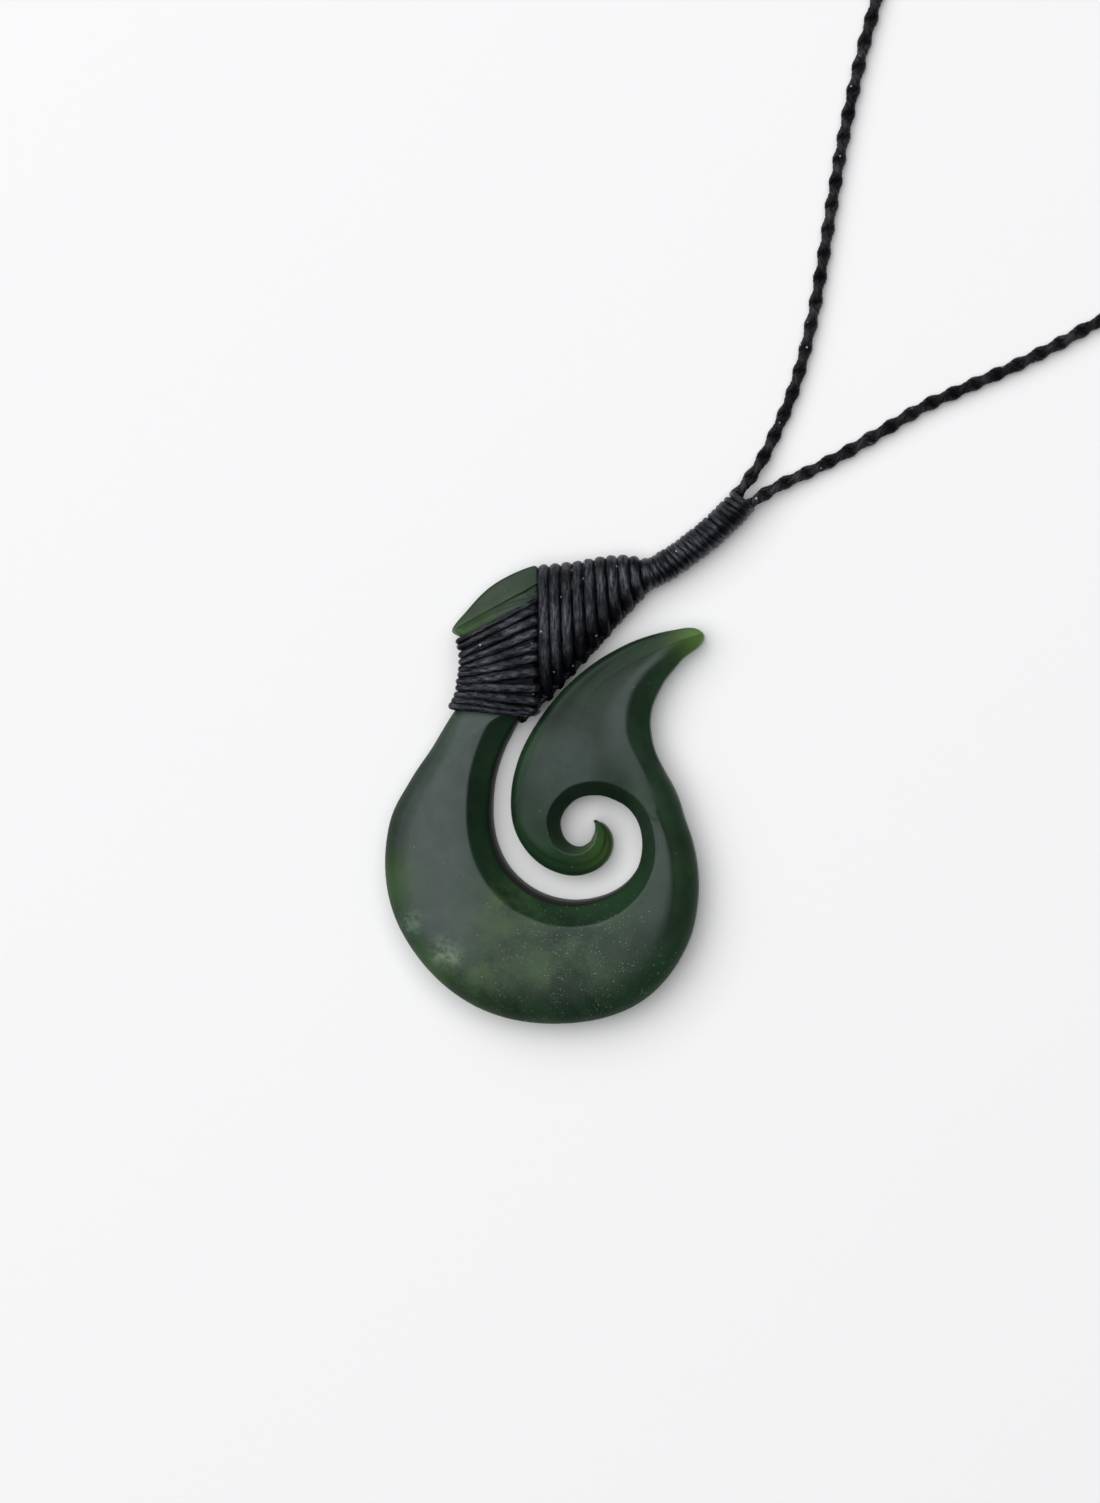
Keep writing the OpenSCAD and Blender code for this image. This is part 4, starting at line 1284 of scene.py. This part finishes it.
    def inner_side(self) -> None:
        """Rounds the back's inner edge, and adds the sawn wall and the inner bevel."""
        for angle in np.radians([0, 30, 60, 90]):
            self.put(self.from_inner(self.round_a * (1 - math.sin(angle)),
                                     self.back + self.round_a * (1 - math.cos(angle))))
        self.put(self.from_inner(0.5 * self.slant, mix(self.back + self.round_a, self.foot, 0.5)), -1.0)
        low = self.from_inner(0.95 * self.slant, self.foot - self.hook.wall_low)
        for share in (0.0, 0.5, 1.0):
            self.put(curve(low, self.inner_bevel(0), self.inner_bevel(0.09), share), share - 1)
        for share in (0.2, 0.35, 0.5, 0.65, 0.8):
            self.put(self.inner_bevel(share), 0.12)

    def inner_ridge(self) -> slice:
        """Rounds off the ridge between the inner bevel and the face.

        Returns:
            The two lines on the ridge itself.
        """
        before, after = self.inner_bevel(0.93), self.face(self.near)
        for share in (0.0, 0.33, 0.67, 1.0):
            self.put(curve(before, self.ridge, after, share), 0.2 + 2.4 * share * (1.4 - share))
        return slice(len(self.points) - 3, len(self.points) - 1)

    def front_face(self) -> int:
        """Adds the face. Its lapped share, and with it the grey veil of satin and painted reflection, fades
        towards its outer edge, but on the barb and the shank it doesn't.

        Returns:
            Number of the face's first line.
        """
        first = len(self.points)
        plain = np.maximum(self.barb, self.shank)
        for v in (0.06, 0.12, 0.2, 0.28, 0.37, 0.46, 0.55, 0.64, 0.73, 0.81, 0.88, 0.94):
            fading = ease(-0.4, mix(2.0, 1.2, self.leafy), (1 - v) * self.run)
            self.put(self.face(np.maximum(v, self.near * (1 + v))), mix(fading, 1, plain))
        return first

    def outer_ridge(self) -> int:
        """Rounds off the ridge between the face and the outer slope.

        Returns:
            Number of the line after the face's last one.
        """
        last = len(self.points)
        soft = mix(0.985, 1 - np.clip(self.hook.barb_round / self.run, 0.004, 0.1), self.barb)
        knee = mix(raised(self.start, self.front_edge), self.top, self.crisp[:, None])
        for share in (0.0, 0.25, 0.5, 0.75, 1.0):
            left = mix(0.05 * (1 - share), 1 - 0.5 * share, self.shank)
            left = left + (0.95 - share) * (share < 0.9) * self.barb
            self.put(curve(self.face(soft), knee, self.outer_slope(0.16), share), mix(left, 1.0, self.crest))
        return last

    def outer_side(self) -> int:
        """Adds the outer slope, the wall below it and the rounding of the back's outer edge.

        Returns:
            Number of the line after the slope's last one.
        """
        for share in (0.26, 0.38, 0.5, 0.62, 0.74, 0.86):
            self.put(self.outer_slope(share), np.maximum(self.crest, max(0.0, 0.8 - share) * self.shank))
        last = len(self.points)
        wall = self.front_b - self.drop
        for share in (0.0, 0.5, 1.0):
            self.put(curve(self.outer_slope(0.95), self.outer_slope(1),
                           raised(self.b, wall - self.hook.edge_low), share))
        self.put(raised(self.b, mix(wall, self.back + self.round_b, 0.5)))
        for angle in np.radians([90, 60, 30, 0]):
            self.put(self.from_outer(self.round_b * (1 - math.sin(angle)),
                                     self.back + self.round_b * (1 - math.cos(angle))))
        return last

    def flat_back(self) -> None:
        """Adds the lines across the back, which was lapped less than the front."""
        middle = raised(self.mid[:, :2], self.back)
        first, last = self.from_outer(self.round_b, self.back), self.from_inner(self.round_a, self.back)
        for share in (0.25, 0.5, 0.75, 1.0):
            self.put(mix(first, middle, share), 0.5)
        for share in (0.25, 0.5, 0.75):
            self.put(mix(middle, last, share), 0.5)


# Lashings


def spiral(turns: float, start: float, per_turn: int, shift: float) -> tuple[Array, Array]:
    """A winding that runs level on the front and steps to its next turn on the back.

    Args:
        turns: How many turns it has.
        start: Number of the first turn's middle.
        per_turn: Points in one turn.
        shift: Share of a turn, on its back, in which it steps along.

    Returns:
        For each point its lap round, and the number of turns that it is along.
    """
    lap = np.linspace(0, turns, int(turns * per_turn) + 1)
    part = lap % 1.0
    step = np.where(part < shift / 2, ease(-shift / 2, shift / 2, part),
                    np.where(part > 1 - shift / 2, 1 + ease(1 - shift / 2, 1 + shift / 2, part), 1.0))
    return part, start + np.floor(lap) + step - 1


class Winding:
    """What every winding has: turns of one thread over a core that is dark in full painted shade."""

    thread: Thread
    turns: int

    def place(self, lap: Array, along: Array, level: float | None = None) -> Array:
        """Places points of the winding.

        Args:
            lap: How far round each lies, from 0 to 1, starting on the back.
            along: How far along the winding, from 0 to 1.
            level: How deep below its outside, or on the lower lashing how high over the stone. Without
                it they lie on the thread's middle line.

        Returns:
            The points.
        """
        raise NotImplementedError

    def half_room(self, lap: Array, along: Array, fill: float, most: float) -> Array:
        """Measures the room that one turn has beside its neighbours.

        Args:
            lap: Laps round.
            along: Places along.
            fill: How much of the room the thread takes.
            most: Widest half that the thread flattens to.

        Returns:
            Half of the thread's width at each point.
        """
        half = 0.5 / self.turns
        room = np.linalg.norm(self.place(lap, along + half) - self.place(lap, along - half), axis=1)
        return np.minimum(room / 2 * fill, most)

    def core(self, sides: int, rings: Array, level: float, capped: bool = True) -> Skin:
        """Makes a core below the turns, which closes the gaps between them and is dark in full painted shade.

        Args:
            sides: Points round it.
            rings: How far along the winding each of its rings lies.
            level: Its level, as for a place.
            capped: Whether its two ends are closed.

        Returns:
            The core's skin.
        """
        laps = np.arange(sides) / sides
        still = np.zeros((1, 1))
        return Skin(np.stack([self.place(laps, np.full(sides, along), level) for along in rings]),
                    {"valley_shade": still + 1, "along": still, "around": still}, capped)


@dataclass(frozen=True)
class LowerLashing(Winding):
    """Eleven turns of fine waxed thread round the stone's neck.

    Args:
        form: The hook's form, which it is wound on.
        thread: The thread.
        turns: Number of turns.
        gap: Room between the stone and the solid's inside.
        wall: Thickness of the thread in the solid.
        first: Row of the hook's table where it starts.
        last: Row where it ends.
        crowd: How much closer the turns lie at the foot, as a share of its length.
        tuck: How far its right side goes in under the upper lashing.
        push: How far its first turn is pushed up on the left.
        pushed: Turns over which that push fades.
    """

    form: HookForm
    thread: Thread = FINE_THREAD
    turns: int = 11
    gap: float = 0.2
    wall: float = 0.72
    first: float = 6.0
    last: float = 26 / 3
    crowd: float = 0.09
    tuck: float = 0.35
    push: float = 0.6
    pushed: float = 5.0

    def frame(self, along: Array) -> tuple[Array, ...]:
        """Reads the stone's section below places along the lashing.

        Args:
            along: The places, as shares of its length.

        Returns:
            The section's middle, the direction to its right side, its width and its height.
        """
        even = along - self.crowd * np.sin(math.pi * np.clip(along, 0, 1) ** 1.3)
        f, t = self.form, mix(self.first, self.last, even)
        a, b = f.inner_edge(t), f.outer_edge(t)
        low, high = f.back(t), f.front(t, Cut.IN_THICK) + f.rise(t)
        return (raised((a + b) / 2, (low + high) / 2), unit(a - b),
                np.linalg.norm(a - b, axis=1), high - low)

    def place(self, lap: Array, along: Array, level: float | None = None) -> Array:
        """Places points of the winding, as every winding does.

        Args:
            lap: How far round each lies.
            along: How far along the winding.
            level: How high over the stone.

        Returns:
            The points.
        """
        level = self.gap + self.wall - self.thread.thick / 2 if level is None else level
        middle, side, wide, tall = self.frame(along)
        middle, wide = middle + raised(side * self.tuck / 2, 0.0), wide + self.tuck
        corner = np.full(len(lap), 0.42 * level + 0.1)
        p = box_outline(wide + 2 * level, tall + 2 * level, corner, lap)
        return middle + np.concatenate([side * p[:, :1], p[:, 1:]], axis=1)

    def build(self) -> list[Skin]:
        """Winds the thread over a packed core, with a cut end that peeps out at its foot.

        Returns:
            The winding's skins.
        """
        lap, count = spiral(self.turns, start=0.5, per_turn=90, shift=0.3)
        along = count * (1 / self.turns)
        path = self.place(lap, along)
        half = self.half_room(lap, along, fill=1.14, most=0.6)
        out = self.place(lap, along, 1.6) - self.place(lap, along, 0.3)
        # The first turns are pushed up against the crest on the left
        middle, side, wide, _ = self.frame(along)
        left = 0.5 - ((path - middle)[:, :2] * side).sum(axis=1) / wide
        up = side @ np.array([[0, 1], [-1, 0]])
        lift = self.push * np.clip(left, 0, 1.2) * (1 - ease(0.5, self.pushed, count))
        path[:, :2] += up * lift[:, None]
        return [self.thread.skin(path, unit(out), half, seed=11),
                self.core(64, np.linspace(0.02, 0.98, 24), 0.45, capped=False), self.tail()]

    def tail(self) -> Skin:
        """The cut end that peeps out at the lashing's foot.

        Returns:
            Its skin.
        """
        line = np.array([[-6.1, 28.9, 3.4], [-6.5, 27.6, 3.6], [-6.75, 26.9, 3.3], [-7.05, 26.35, 2.8]])
        path = read_off(np.linspace(0, 3, 24), np.arange(4), line)
        out = np.tile([0.3, 0, 1.0], (len(path), 1))
        return self.thread.skin(path, out, np.full(len(path), 0.34), seed=12)

    def dress(self, finish: Material) -> bpy.types.Object:
        """Makes the winding in the place of its solid."""
        return make_piece("neck_winding", self.build(), finish, "lower_lashing")


@dataclass(frozen=True)
class UpperLashing(Winding):
    """Ten upright turns of thicker thread over the stone's nose, fanning towards the cord.

    Args:
        thread: The thread.
        turns: Number of turns.
        left: Where it starts, along x.
        length: How long it is along x.
        left_top: Height in plan of its left end's top.
        left_foot: Height in plan of its left end's foot.
        left_deep: Depth of its left end.
        drop: How far the middle of its right end lies below the left end's top.
        arch: How far its top arches.
        end_wide: Diameter of its right end.
        lean_first: How much its first turn leans towards the cord on its way down.
        lean_more: How much more the last one does.
        crown: How far down a turn its highest point is, as a share of its length in plan.
        fall_up: How much lower its front is at the top edge, as a share of its depth.
        fall_down: The same at the foot.
        fall_fades: How much less it falls at its right end.
    """

    thread: Thread = THICK_THREAD
    turns: int = 10
    left: float = -4.85
    length: float = 12.1
    left_top: float = 43.515
    left_foot: float = 27.46
    left_deep: float = 6.2
    drop: float = 1.2
    arch: float = 0.7
    end_wide: float = 3.4
    lean_first: float = 0.02
    lean_more: float = 0.16
    crown: float = 0.57
    fall_up: float = 0.16
    fall_down: float = 0.34
    fall_fades: float = 0.6

    def top(self, along: Array) -> Array:
        """Height in plan of the top edge."""
        right = self.left_top - self.drop + self.end_wide / 2
        return mix(self.left_top, right, along) + self.arch * np.sin(math.pi * np.clip(along, 0, 1) ** 2)

    def place(self, lap: Array, along: Array, level: float | None = None) -> Array:
        """Places points of the winding, as every winding does.

        Args:
            lap: How far round each lies.
            along: How far along the winding.
            level: How deep below its outside.

        Returns:
            The points.
        """
        inset = self.thread.thick / 2 if level is None else level
        # Each turn runs from its head on the top edge to its heel on the slanting foot
        fall = self.left_top - self.drop - self.end_wide / 2 - self.left_foot
        lean, top = self.lean_first + self.lean_more * np.clip(along, 0, 1) ** 2, self.top(along)
        x_top = self.left + self.length * along
        down_foot = ((x_top - self.left) + lean * (top - self.left_foot)) / (self.length + lean * fall)
        head = np.stack([x_top, top], axis=1)
        heel = np.stack([self.left + self.length * down_foot, self.left_foot + fall * down_foot], axis=1)
        reach = np.linalg.norm(head - heel, axis=1)
        axis = (head - heel) / reach[:, None]
        deep = mix(self.left_deep, self.end_wide, along)
        wide, tall = reach - 2 * inset, deep - 2 * inset
        p = box_outline(wide, tall, 0.48 * np.minimum(wide, tall), lap)
        down = 0.5 - p[:, 0] / wide
        above = self.fall_up * np.clip((self.crown - down) / self.crown, 0, 1) ** 2
        below = self.fall_down * np.clip((down - self.crown) / (1 - self.crown), 0, 1) ** 2.4
        front = ease(-0.2, 0.3, p[:, 1] / tall)
        height = (p[:, 1] + deep / 2) * (1 - (above + below) * front * (1 - self.fall_fades * along))
        return raised((head + heel) / 2 + axis * p[:, :1], np.maximum(height, inset))

    def build(self) -> list[Skin]:
        """Winds the thread, with the bundled cord ends as a core below it.

        Returns:
            The winding's skins.
        """
        lap, count = spiral(self.turns, start=0.5, per_turn=120, shift=0.3)
        along = count * (1 / self.turns)
        half = self.half_room(lap, along, fill=1.12, most=0.72)
        out = self.place(lap, along, 0.1) - self.place(lap, along, 0.9)
        return [self.thread.skin(self.place(lap, along), unit(out), half, seed=21),
                self.core(72, np.linspace(0.03, 0.98, 30), 0.75), self.hitches()]

    def hitches(self) -> Skin:
        """The row of fine half hitches that locks the turns along their feet, with its tag.

        Returns:
            Its skin.
        """
        line = [[-6.9, 26.35, 2.3], [-6.3, 26.9, 3.2], [-5.5, 27.7, 3.4], [-4.6, 28.6, 3.2],
                [-3.4, 29.8, 3.0], [-2.0, 31.2, 2.8], [-0.2, 33.1, 2.6], [1.6, 35.0, 2.4],
                [3.4, 37.0, 2.2], [5.2, 39.1, 1.9], [6.6, 40.6, 1.7], [7.6, 41.4, 1.7], [8.6, 42.0, 1.8]]
        path = at_rows(line, np.linspace(0, len(line) - 1, 240))
        out = np.tile([0.55, -0.55, 0.8], (len(path), 1))
        return HITCH_THREAD.skin(path, out, np.full(len(path), 0.5), seed=22)

    def dress(self, finish: Material) -> bpy.types.Object:
        """Makes the winding in the place of its solid."""
        return make_piece("nose_winding", self.build(), finish, "upper_lashing")


@dataclass(frozen=True)
class NeckWhipping(Winding):
    """Eighteen close turns of fine thread round the cord's two legs.

    Args:
        thread: The thread.
        turns: Number of turns.
        before: Turns more that lie over the end of the upper lashing.
        length: Length along its arc.
        radius: Radius over the thread.
        start: Where its middle line starts in plan.
        angle: Its heading there, in degrees up from x.
        bend: How far it turns along its length, in degrees.
        slant: How far its turns lean, in degrees.
        press: How much wider than its room a turn is pressed.
        knot: Middle of the knot at its foot.
        knot_turns: Turns of that knot.
    """

    thread: Thread = FINE_THREAD
    turns: int = 18
    before: int = 2
    length: float = 12.0
    radius: float = 1.7
    start: tuple[float, float] = (8.296, 42.922)
    angle: float = 30.0
    bend: float = 19.0
    slant: float = 12.0
    press: float = 1.3
    knot: tuple[float, float, float] = (7.55, 41.75, 1.9)
    knot_turns: float = 2.4

    def angles(self, along: Array) -> Array:
        """Its headings at places along it."""
        return math.radians(self.angle) + math.radians(self.bend) * along

    def middle(self, along: Array) -> Array:
        """Places points on its middle line, an arc in plan.

        Args:
            along: How far along the winding they lie.

        Returns:
            The points.
        """
        a0, a = math.radians(self.angle), self.angles(along)
        arc = self.length / math.radians(self.bend)
        plan = np.stack([np.sin(a) - math.sin(a0), math.cos(a0) - np.cos(a)], axis=1) * arc
        return raised(np.array(self.start) + plan, self.radius)

    def place(self, lap: Array, along: Array, level: float | None = None) -> Array:
        """Places points of the winding, as every winding does.

        Args:
            lap: How far round each lies.
            along: How far along the winding.
            level: How deep below its outside.

        Returns:
            The points.
        """
        radius = self.radius - (self.thread.thick / 2 if level is None else level)
        ahead, side = heading(self.angles(along)), heading(self.angles(along) + math.pi / 2)
        turn = 2 * math.pi * lap - math.pi / 2
        lean = -math.tan(math.radians(self.slant)) * radius * np.cos(turn)
        # The turns stand straight at both ends
        lean = lean * ease(-0.02, 0.12, along) * ease(-1.02, -0.88, -along)
        plan = side * (radius * np.cos(turn))[:, None] + ahead * lean[:, None]
        return self.middle(along) + raised(plan, radius * np.sin(turn))

    def build(self) -> list[Skin]:
        """Winds the thread over the two legs of the cord, with a knot at its foot.

        Returns:
            The winding's skins.
        """
        lap, count = spiral(self.turns + self.before, start=0.5 - self.before, per_turn=64, shift=0.4)
        along = count * (1 / self.turns)
        path = self.place(lap, along)
        half = np.full(len(path), self.length / self.turns / 2 * self.press)
        return [self.thread.skin(path, unit(path - self.middle(along)), half, seed=31),
                self.core(24, np.linspace(-0.1, 0.97, 26), 0.5), self.foot_knot()]

    def foot_knot(self) -> Skin:
        """The small tight knot that locks the whipping's foot to the lashing.

        Returns:
            Its skin.
        """
        turn = np.linspace(0, 2 * math.pi * self.knot_turns, 120)
        ahead, side, up = np.array([0.72, 0.69, 0.0]), np.array([0.69, -0.72, 0.0]), np.array([0, 0, 1])
        shift = 0.16 * (turn / math.pi - self.knot_turns) + 0.12 * np.sin(turn * 1.7)
        path = (np.array(self.knot) + np.outer(shift, ahead) + np.outer(0.3 * np.cos(turn), side)
                + np.outer(0.42 * np.sin(turn), up))
        out = np.outer(np.cos(turn), side) + np.outer(np.sin(turn), up)
        return self.thread.skin(path, out, np.full(len(turn), 0.33), seed=32)

    def dress(self, finish: Material) -> bpy.types.Object:
        """Makes the winding in the place of its solid."""
        return make_piece("leg_winding", self.build(), finish, "neck_whipping")


@dataclass(frozen=True)
class CordJoin(Winding):
    """The plain whipped sleeve behind the neck, where the cord's two halves meet.

    Args:
        thread: The thread.
        turns: Number of turns.
        length: Its length.
        radius: Radius over the thread.
        centre: Its middle.
        angle: Its heading in degrees.
        press: How much wider than its room a turn is pressed.
    """

    thread: Thread = HIDDEN_THREAD
    turns: int = 12
    length: float = 9.0
    radius: float = 1.745
    centre: tuple[float, float, float] = (194.11, 258.12, 1.725)
    angle: float = -45.0
    press: float = 1.02

    def place(self, lap: Array, along: Array, level: float | None = None) -> Array:
        """Places points of the winding, as every winding does.

        Args:
            lap: How far round each lies.
            along: How far along the winding.
            level: How deep below its outside.

        Returns:
            The points.
        """
        radius = self.radius - (self.thread.thick / 2 if level is None else level)
        ahead, side = heading(math.radians(self.angle)), heading(math.radians(self.angle) + math.pi / 2)
        turn = 2 * math.pi * lap - math.pi / 2
        plan = np.outer((along - 0.5) * self.length, ahead) + np.outer(radius * np.cos(turn), side)
        return np.array(self.centre) + raised(plan, radius * np.sin(turn))

    def build(self) -> list[Skin]:
        """Winds the thread over a core.

        Returns:
            The sleeve's skins.
        """
        lap, count = spiral(self.turns, start=0.5, per_turn=64, shift=0.5)
        along = count / self.turns
        path = self.place(lap, along)
        out = path - self.place(lap, along, self.radius)
        half = np.full(len(path), self.length / self.turns / 2 * self.press)
        return [self.thread.skin(path, unit(out), half, seed=41),
                self.core(24, np.linspace(0.02, 0.98, 12), 0.5)]

    def dress(self, finish: Material) -> bpy.types.Object:
        """Makes the winding in the place of its solid."""
        return make_piece("join_winding", self.build(), finish, "cord_join")


# The plaited cord


class Side(Enum):
    """The two halves of the neck cord, by the side that they leave the whipping on."""

    LEFT = "left"
    RIGHT = "right"

    @property
    def route(self) -> list[list[float]]:
        """The half's route from the whipping's end face."""
        return LEFT_ROUTE if self is Side.LEFT else RIGHT_ROUTE


@dataclass(frozen=True)
class PlaitedCord:
    """One half of the neck cord, a round plait of four waxed strands.

    Two strands climb to the left and two to the right, and each goes over the next one it meets and
    under the one after.

    Args:
        side: Which half.
        diameter: The cord's diameter.
        strand: Thickness of one strand.
        flat: Thickness of a strand where it is pressed flat, as a share of that.
        broad: Its width there, as a share of that.
        pitch: Length of one full turn of a strand.
        wave: How far a strand dips to go under another.
        sides: Points round a strand.
        step: Length between two rings.
        pull_step: Length between places where the hand pulled more or less.
        loose: How far a turn strays by that, in radians.
        swell: How much a strand's thickness strays.
        origin: The middle of the whipping's end face in plan.
        back_in: How far the plait goes on inside the whipping, in points of its route.
    """

    side: Side
    diameter: float = 1.65
    strand: float = 0.80
    flat: float = 0.94
    broad: float = 1.16
    pitch: float = 5.2
    wave: float = 0.17
    sides: int = 9
    step: float = 0.3
    pull_step: float = 6.0
    loose: float = 0.22
    swell: float = 0.04
    origin: tuple[float, float] = (17.513, 50.520)
    back_in: float = 0.6

    def line(self) -> tuple[Array, Array]:
        """Reads the cord's middle line off its route.

        Returns:
            Points on the line, evenly spaced, and how far along it each lies.
        """
        t = np.arange(-self.back_in, len(self.side.route) - 1 + 0.15, 0.02)
        path = np.array([*self.origin, self.diameter / 2]) + at_rows(self.side.route, t)
        length = lengths_along(path)
        way = np.linspace(0, length[-1], int(length[-1] / self.step) + 1)
        return read_off(way, length, path), way

    def build(self) -> list[Skin]:
        """Plaits the four strands along the line.

        Returns:
            One skin for each strand.
        """
        path, way = self.line()
        ahead = unit(np.gradient(path, way, axis=0))
        side = unit(np.stack([-ahead[:, 1], ahead[:, 0], np.zeros(len(way))], axis=1))
        up = np.cross(ahead, side)
        rng = np.random.default_rng(51 if self.side is Side.LEFT else 52)
        knots = np.arange(0, way[-1] + 2 * self.pull_step, self.pull_step)
        # The hand pulls some turns tighter than others
        phase = np.interp(way, knots, np.cumsum(rng.normal(0, self.loose, len(knots))))
        turn = 2 * math.pi * way / self.pitch + phase
        reach = (self.diameter - self.strand) / 2
        around, beside = ring_angles(self.sides)
        flank = np.minimum(2.0 * np.abs(np.sin(around / 2)) ** 2.6, 1)
        skins = []
        for hand, start in ((1, 0), (-1, 0), (1, math.pi), (-1, math.pi)):
            angle = hand * turn + start
            dip = hand * np.cos(2 * angle)
            radius = reach - self.wave * (1 - dip)
            half = self.strand / 2 * (1 + np.interp(way, knots, rng.normal(0, self.swell, len(knots))))
            middle = (path + side * (radius * np.cos(angle))[:, None]
                      + up * (radius * np.sin(angle))[:, None])
            across, out = squared(middle, way, side * np.cos(angle)[:, None] + up * np.sin(angle)[:, None])
            rings = tube(middle, out, across, (half * self.flat)[:, None] * np.cos(around),
                         (half * self.broad)[:, None] * np.sin(around))
            rings[:, :, 2] = np.maximum(rings[:, :, 2], 0.01)
            # Painted shade where a strand dips under another, and on its flanks
            deep = np.broadcast_to((0.5 - 0.5 * dip)[:, None], rings.shape[:2])
            skins.append(Skin(rings, {"valley_shade": 1 - (1 - deep * 0.6) * (1 - flank),
                                      "along": way[:, None] + 0 * deep,
                                      "around": self.strand / 2 * beside + 0 * deep}))
        return skins

    def dress(self, finish: Material) -> bpy.types.Object:
        """Makes the plait in the place of its solid."""
        name = self.side.value
        return make_piece(f"cord_plait_{name}", self.build(), finish, f"neck_cord_{name}")


# Floor, light and camera


@dataclass(frozen=True)
class Studio:
    """A pale board under soft light from the upper left, seen from nearly straight above.

    Args:
        frame_middle: The point on the board that the picture is centred on.
        frame_tall: Height of the picture on the board.
        lens: Focal length for a sensor whose long side is 36 mm.
        sensor: That long side.
        tilt: How far the camera leans towards the right and towards the foot, in degrees.
        board_half: Half of the board's side, in metres.
        lamp_place: Where the soft box hangs, in metres.
        lamp_size: Its side, in metres.
        lamp_power: Its power in watts.
        lamp_aim: What it faces, in metres.
        sky: Colour of the room's own light.
        sky_strength: Strength of that light.
    """

    frame_middle: tuple[float, float, float] = (-3.6, 23.0, 3.0)
    frame_tall: float = 164.3
    lens: float = 100.0
    sensor: float = 36.0
    tilt: tuple[float, float] = (4.0, 0.5)
    board_half: float = 4.0
    lamp_place: tuple[float, float, float] = (-0.42, 0.42, 1.4)
    lamp_size: float = 2.5
    lamp_power: float = 44.0
    lamp_aim: tuple[float, float, float] = (0.0, 0.03, 0.0)
    sky: str = "#f2f4f8"
    sky_strength: float = 0.1

    def camera(self) -> bpy.types.Object:
        """Places the camera at the photograph's angle.

        Returns:
            The camera, which is the scene's.
        """
        data = bpy.data.cameras.new("camera")
        data.lens, data.sensor_width = self.lens, self.sensor
        data.clip_start, data.clip_end = 0.01, 20.0
        made = bpy.data.objects.new("camera", data)
        bpy.context.scene.collection.objects.link(made)
        away = self.frame_tall * self.lens / self.sensor
        right, down = (math.tan(math.radians(v)) for v in self.tilt)
        to_camera = Vector((right, -down, 1.0)).normalized()
        target = Vector(self.frame_middle)
        made.location = (target + to_camera * away) * MM
        side = Vector((0, 1, 0)).cross(to_camera).normalized()
        up = to_camera.cross(side)
        made.rotation_mode = "QUATERNION"
        columns = [[side[k], up[k], to_camera[k]] for k in range(3)]
        made.rotation_quaternion = Matrix(columns).to_quaternion()
        bpy.context.scene.camera = made
        return made

    def lamp(self) -> None:
        """Hangs one square soft box that faces the stone."""
        data = bpy.data.lights.new("soft_box", "AREA")
        data.shape, data.size, data.energy = "SQUARE", self.lamp_size, self.lamp_power
        made = bpy.data.objects.new("soft_box", data)
        bpy.context.scene.collection.objects.link(made)
        made.location = self.lamp_place
        made.rotation_mode = "QUATERNION"
        made.rotation_quaternion = (Vector(self.lamp_aim) - Vector(self.lamp_place)).to_track_quat("-Z", "Y")

    def build(self) -> None:
        """Lays the board, hangs the lamp and sets the room's own light."""
        half = self.board_half
        mesh = bpy.data.meshes.new("board")
        corners = [(-half, -half, 0), (half, -half, 0), (half, half, 0), (-half, half, 0)]
        mesh.from_pydata(corners, [], [(0, 1, 2, 3)])
        mesh.materials.append(PaintedBoard().make())
        board = bpy.data.objects.new("board", mesh)
        bpy.context.scene.collection.objects.link(board)
        self.lamp()
        world = bpy.data.worlds.new("studio")
        world.use_nodes = True
        sky = world.node_tree.nodes["Background"]
        sky.inputs["Color"].default_value = linear(self.sky)
        sky.inputs["Strength"].default_value = self.sky_strength
        bpy.context.scene.world = world
        bpy.context.scene.view_settings.view_transform = "Standard"


def main() -> None:
    """Builds the pendant on its frame, piece by piece."""
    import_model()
    studio = Studio()
    studio.camera()
    studio.build()
    form = HookForm()
    thread = WaxedThread("polyester_thread_twisted_waxed").make()
    plait = WaxedThread("polyester_cord_plaited_waxed", dye="#08080a", worn="#131317", rough=0.45,
                        mirror=0.3, gleam="#f4f4f8").make()
    for side in Side:
        PlaitedCord(side).dress(plait)
    StoneHook(form).dress(Greenstone().make())
    LowerLashing(form).dress(thread)
    UpperLashing().dress(thread)
    NeckWhipping().dress(thread)
    CordJoin().dress(thread)


if __name__ == "__main__":
    logging.basicConfig(level=logging.INFO, format="%(name)s: %(message)s")
    main()
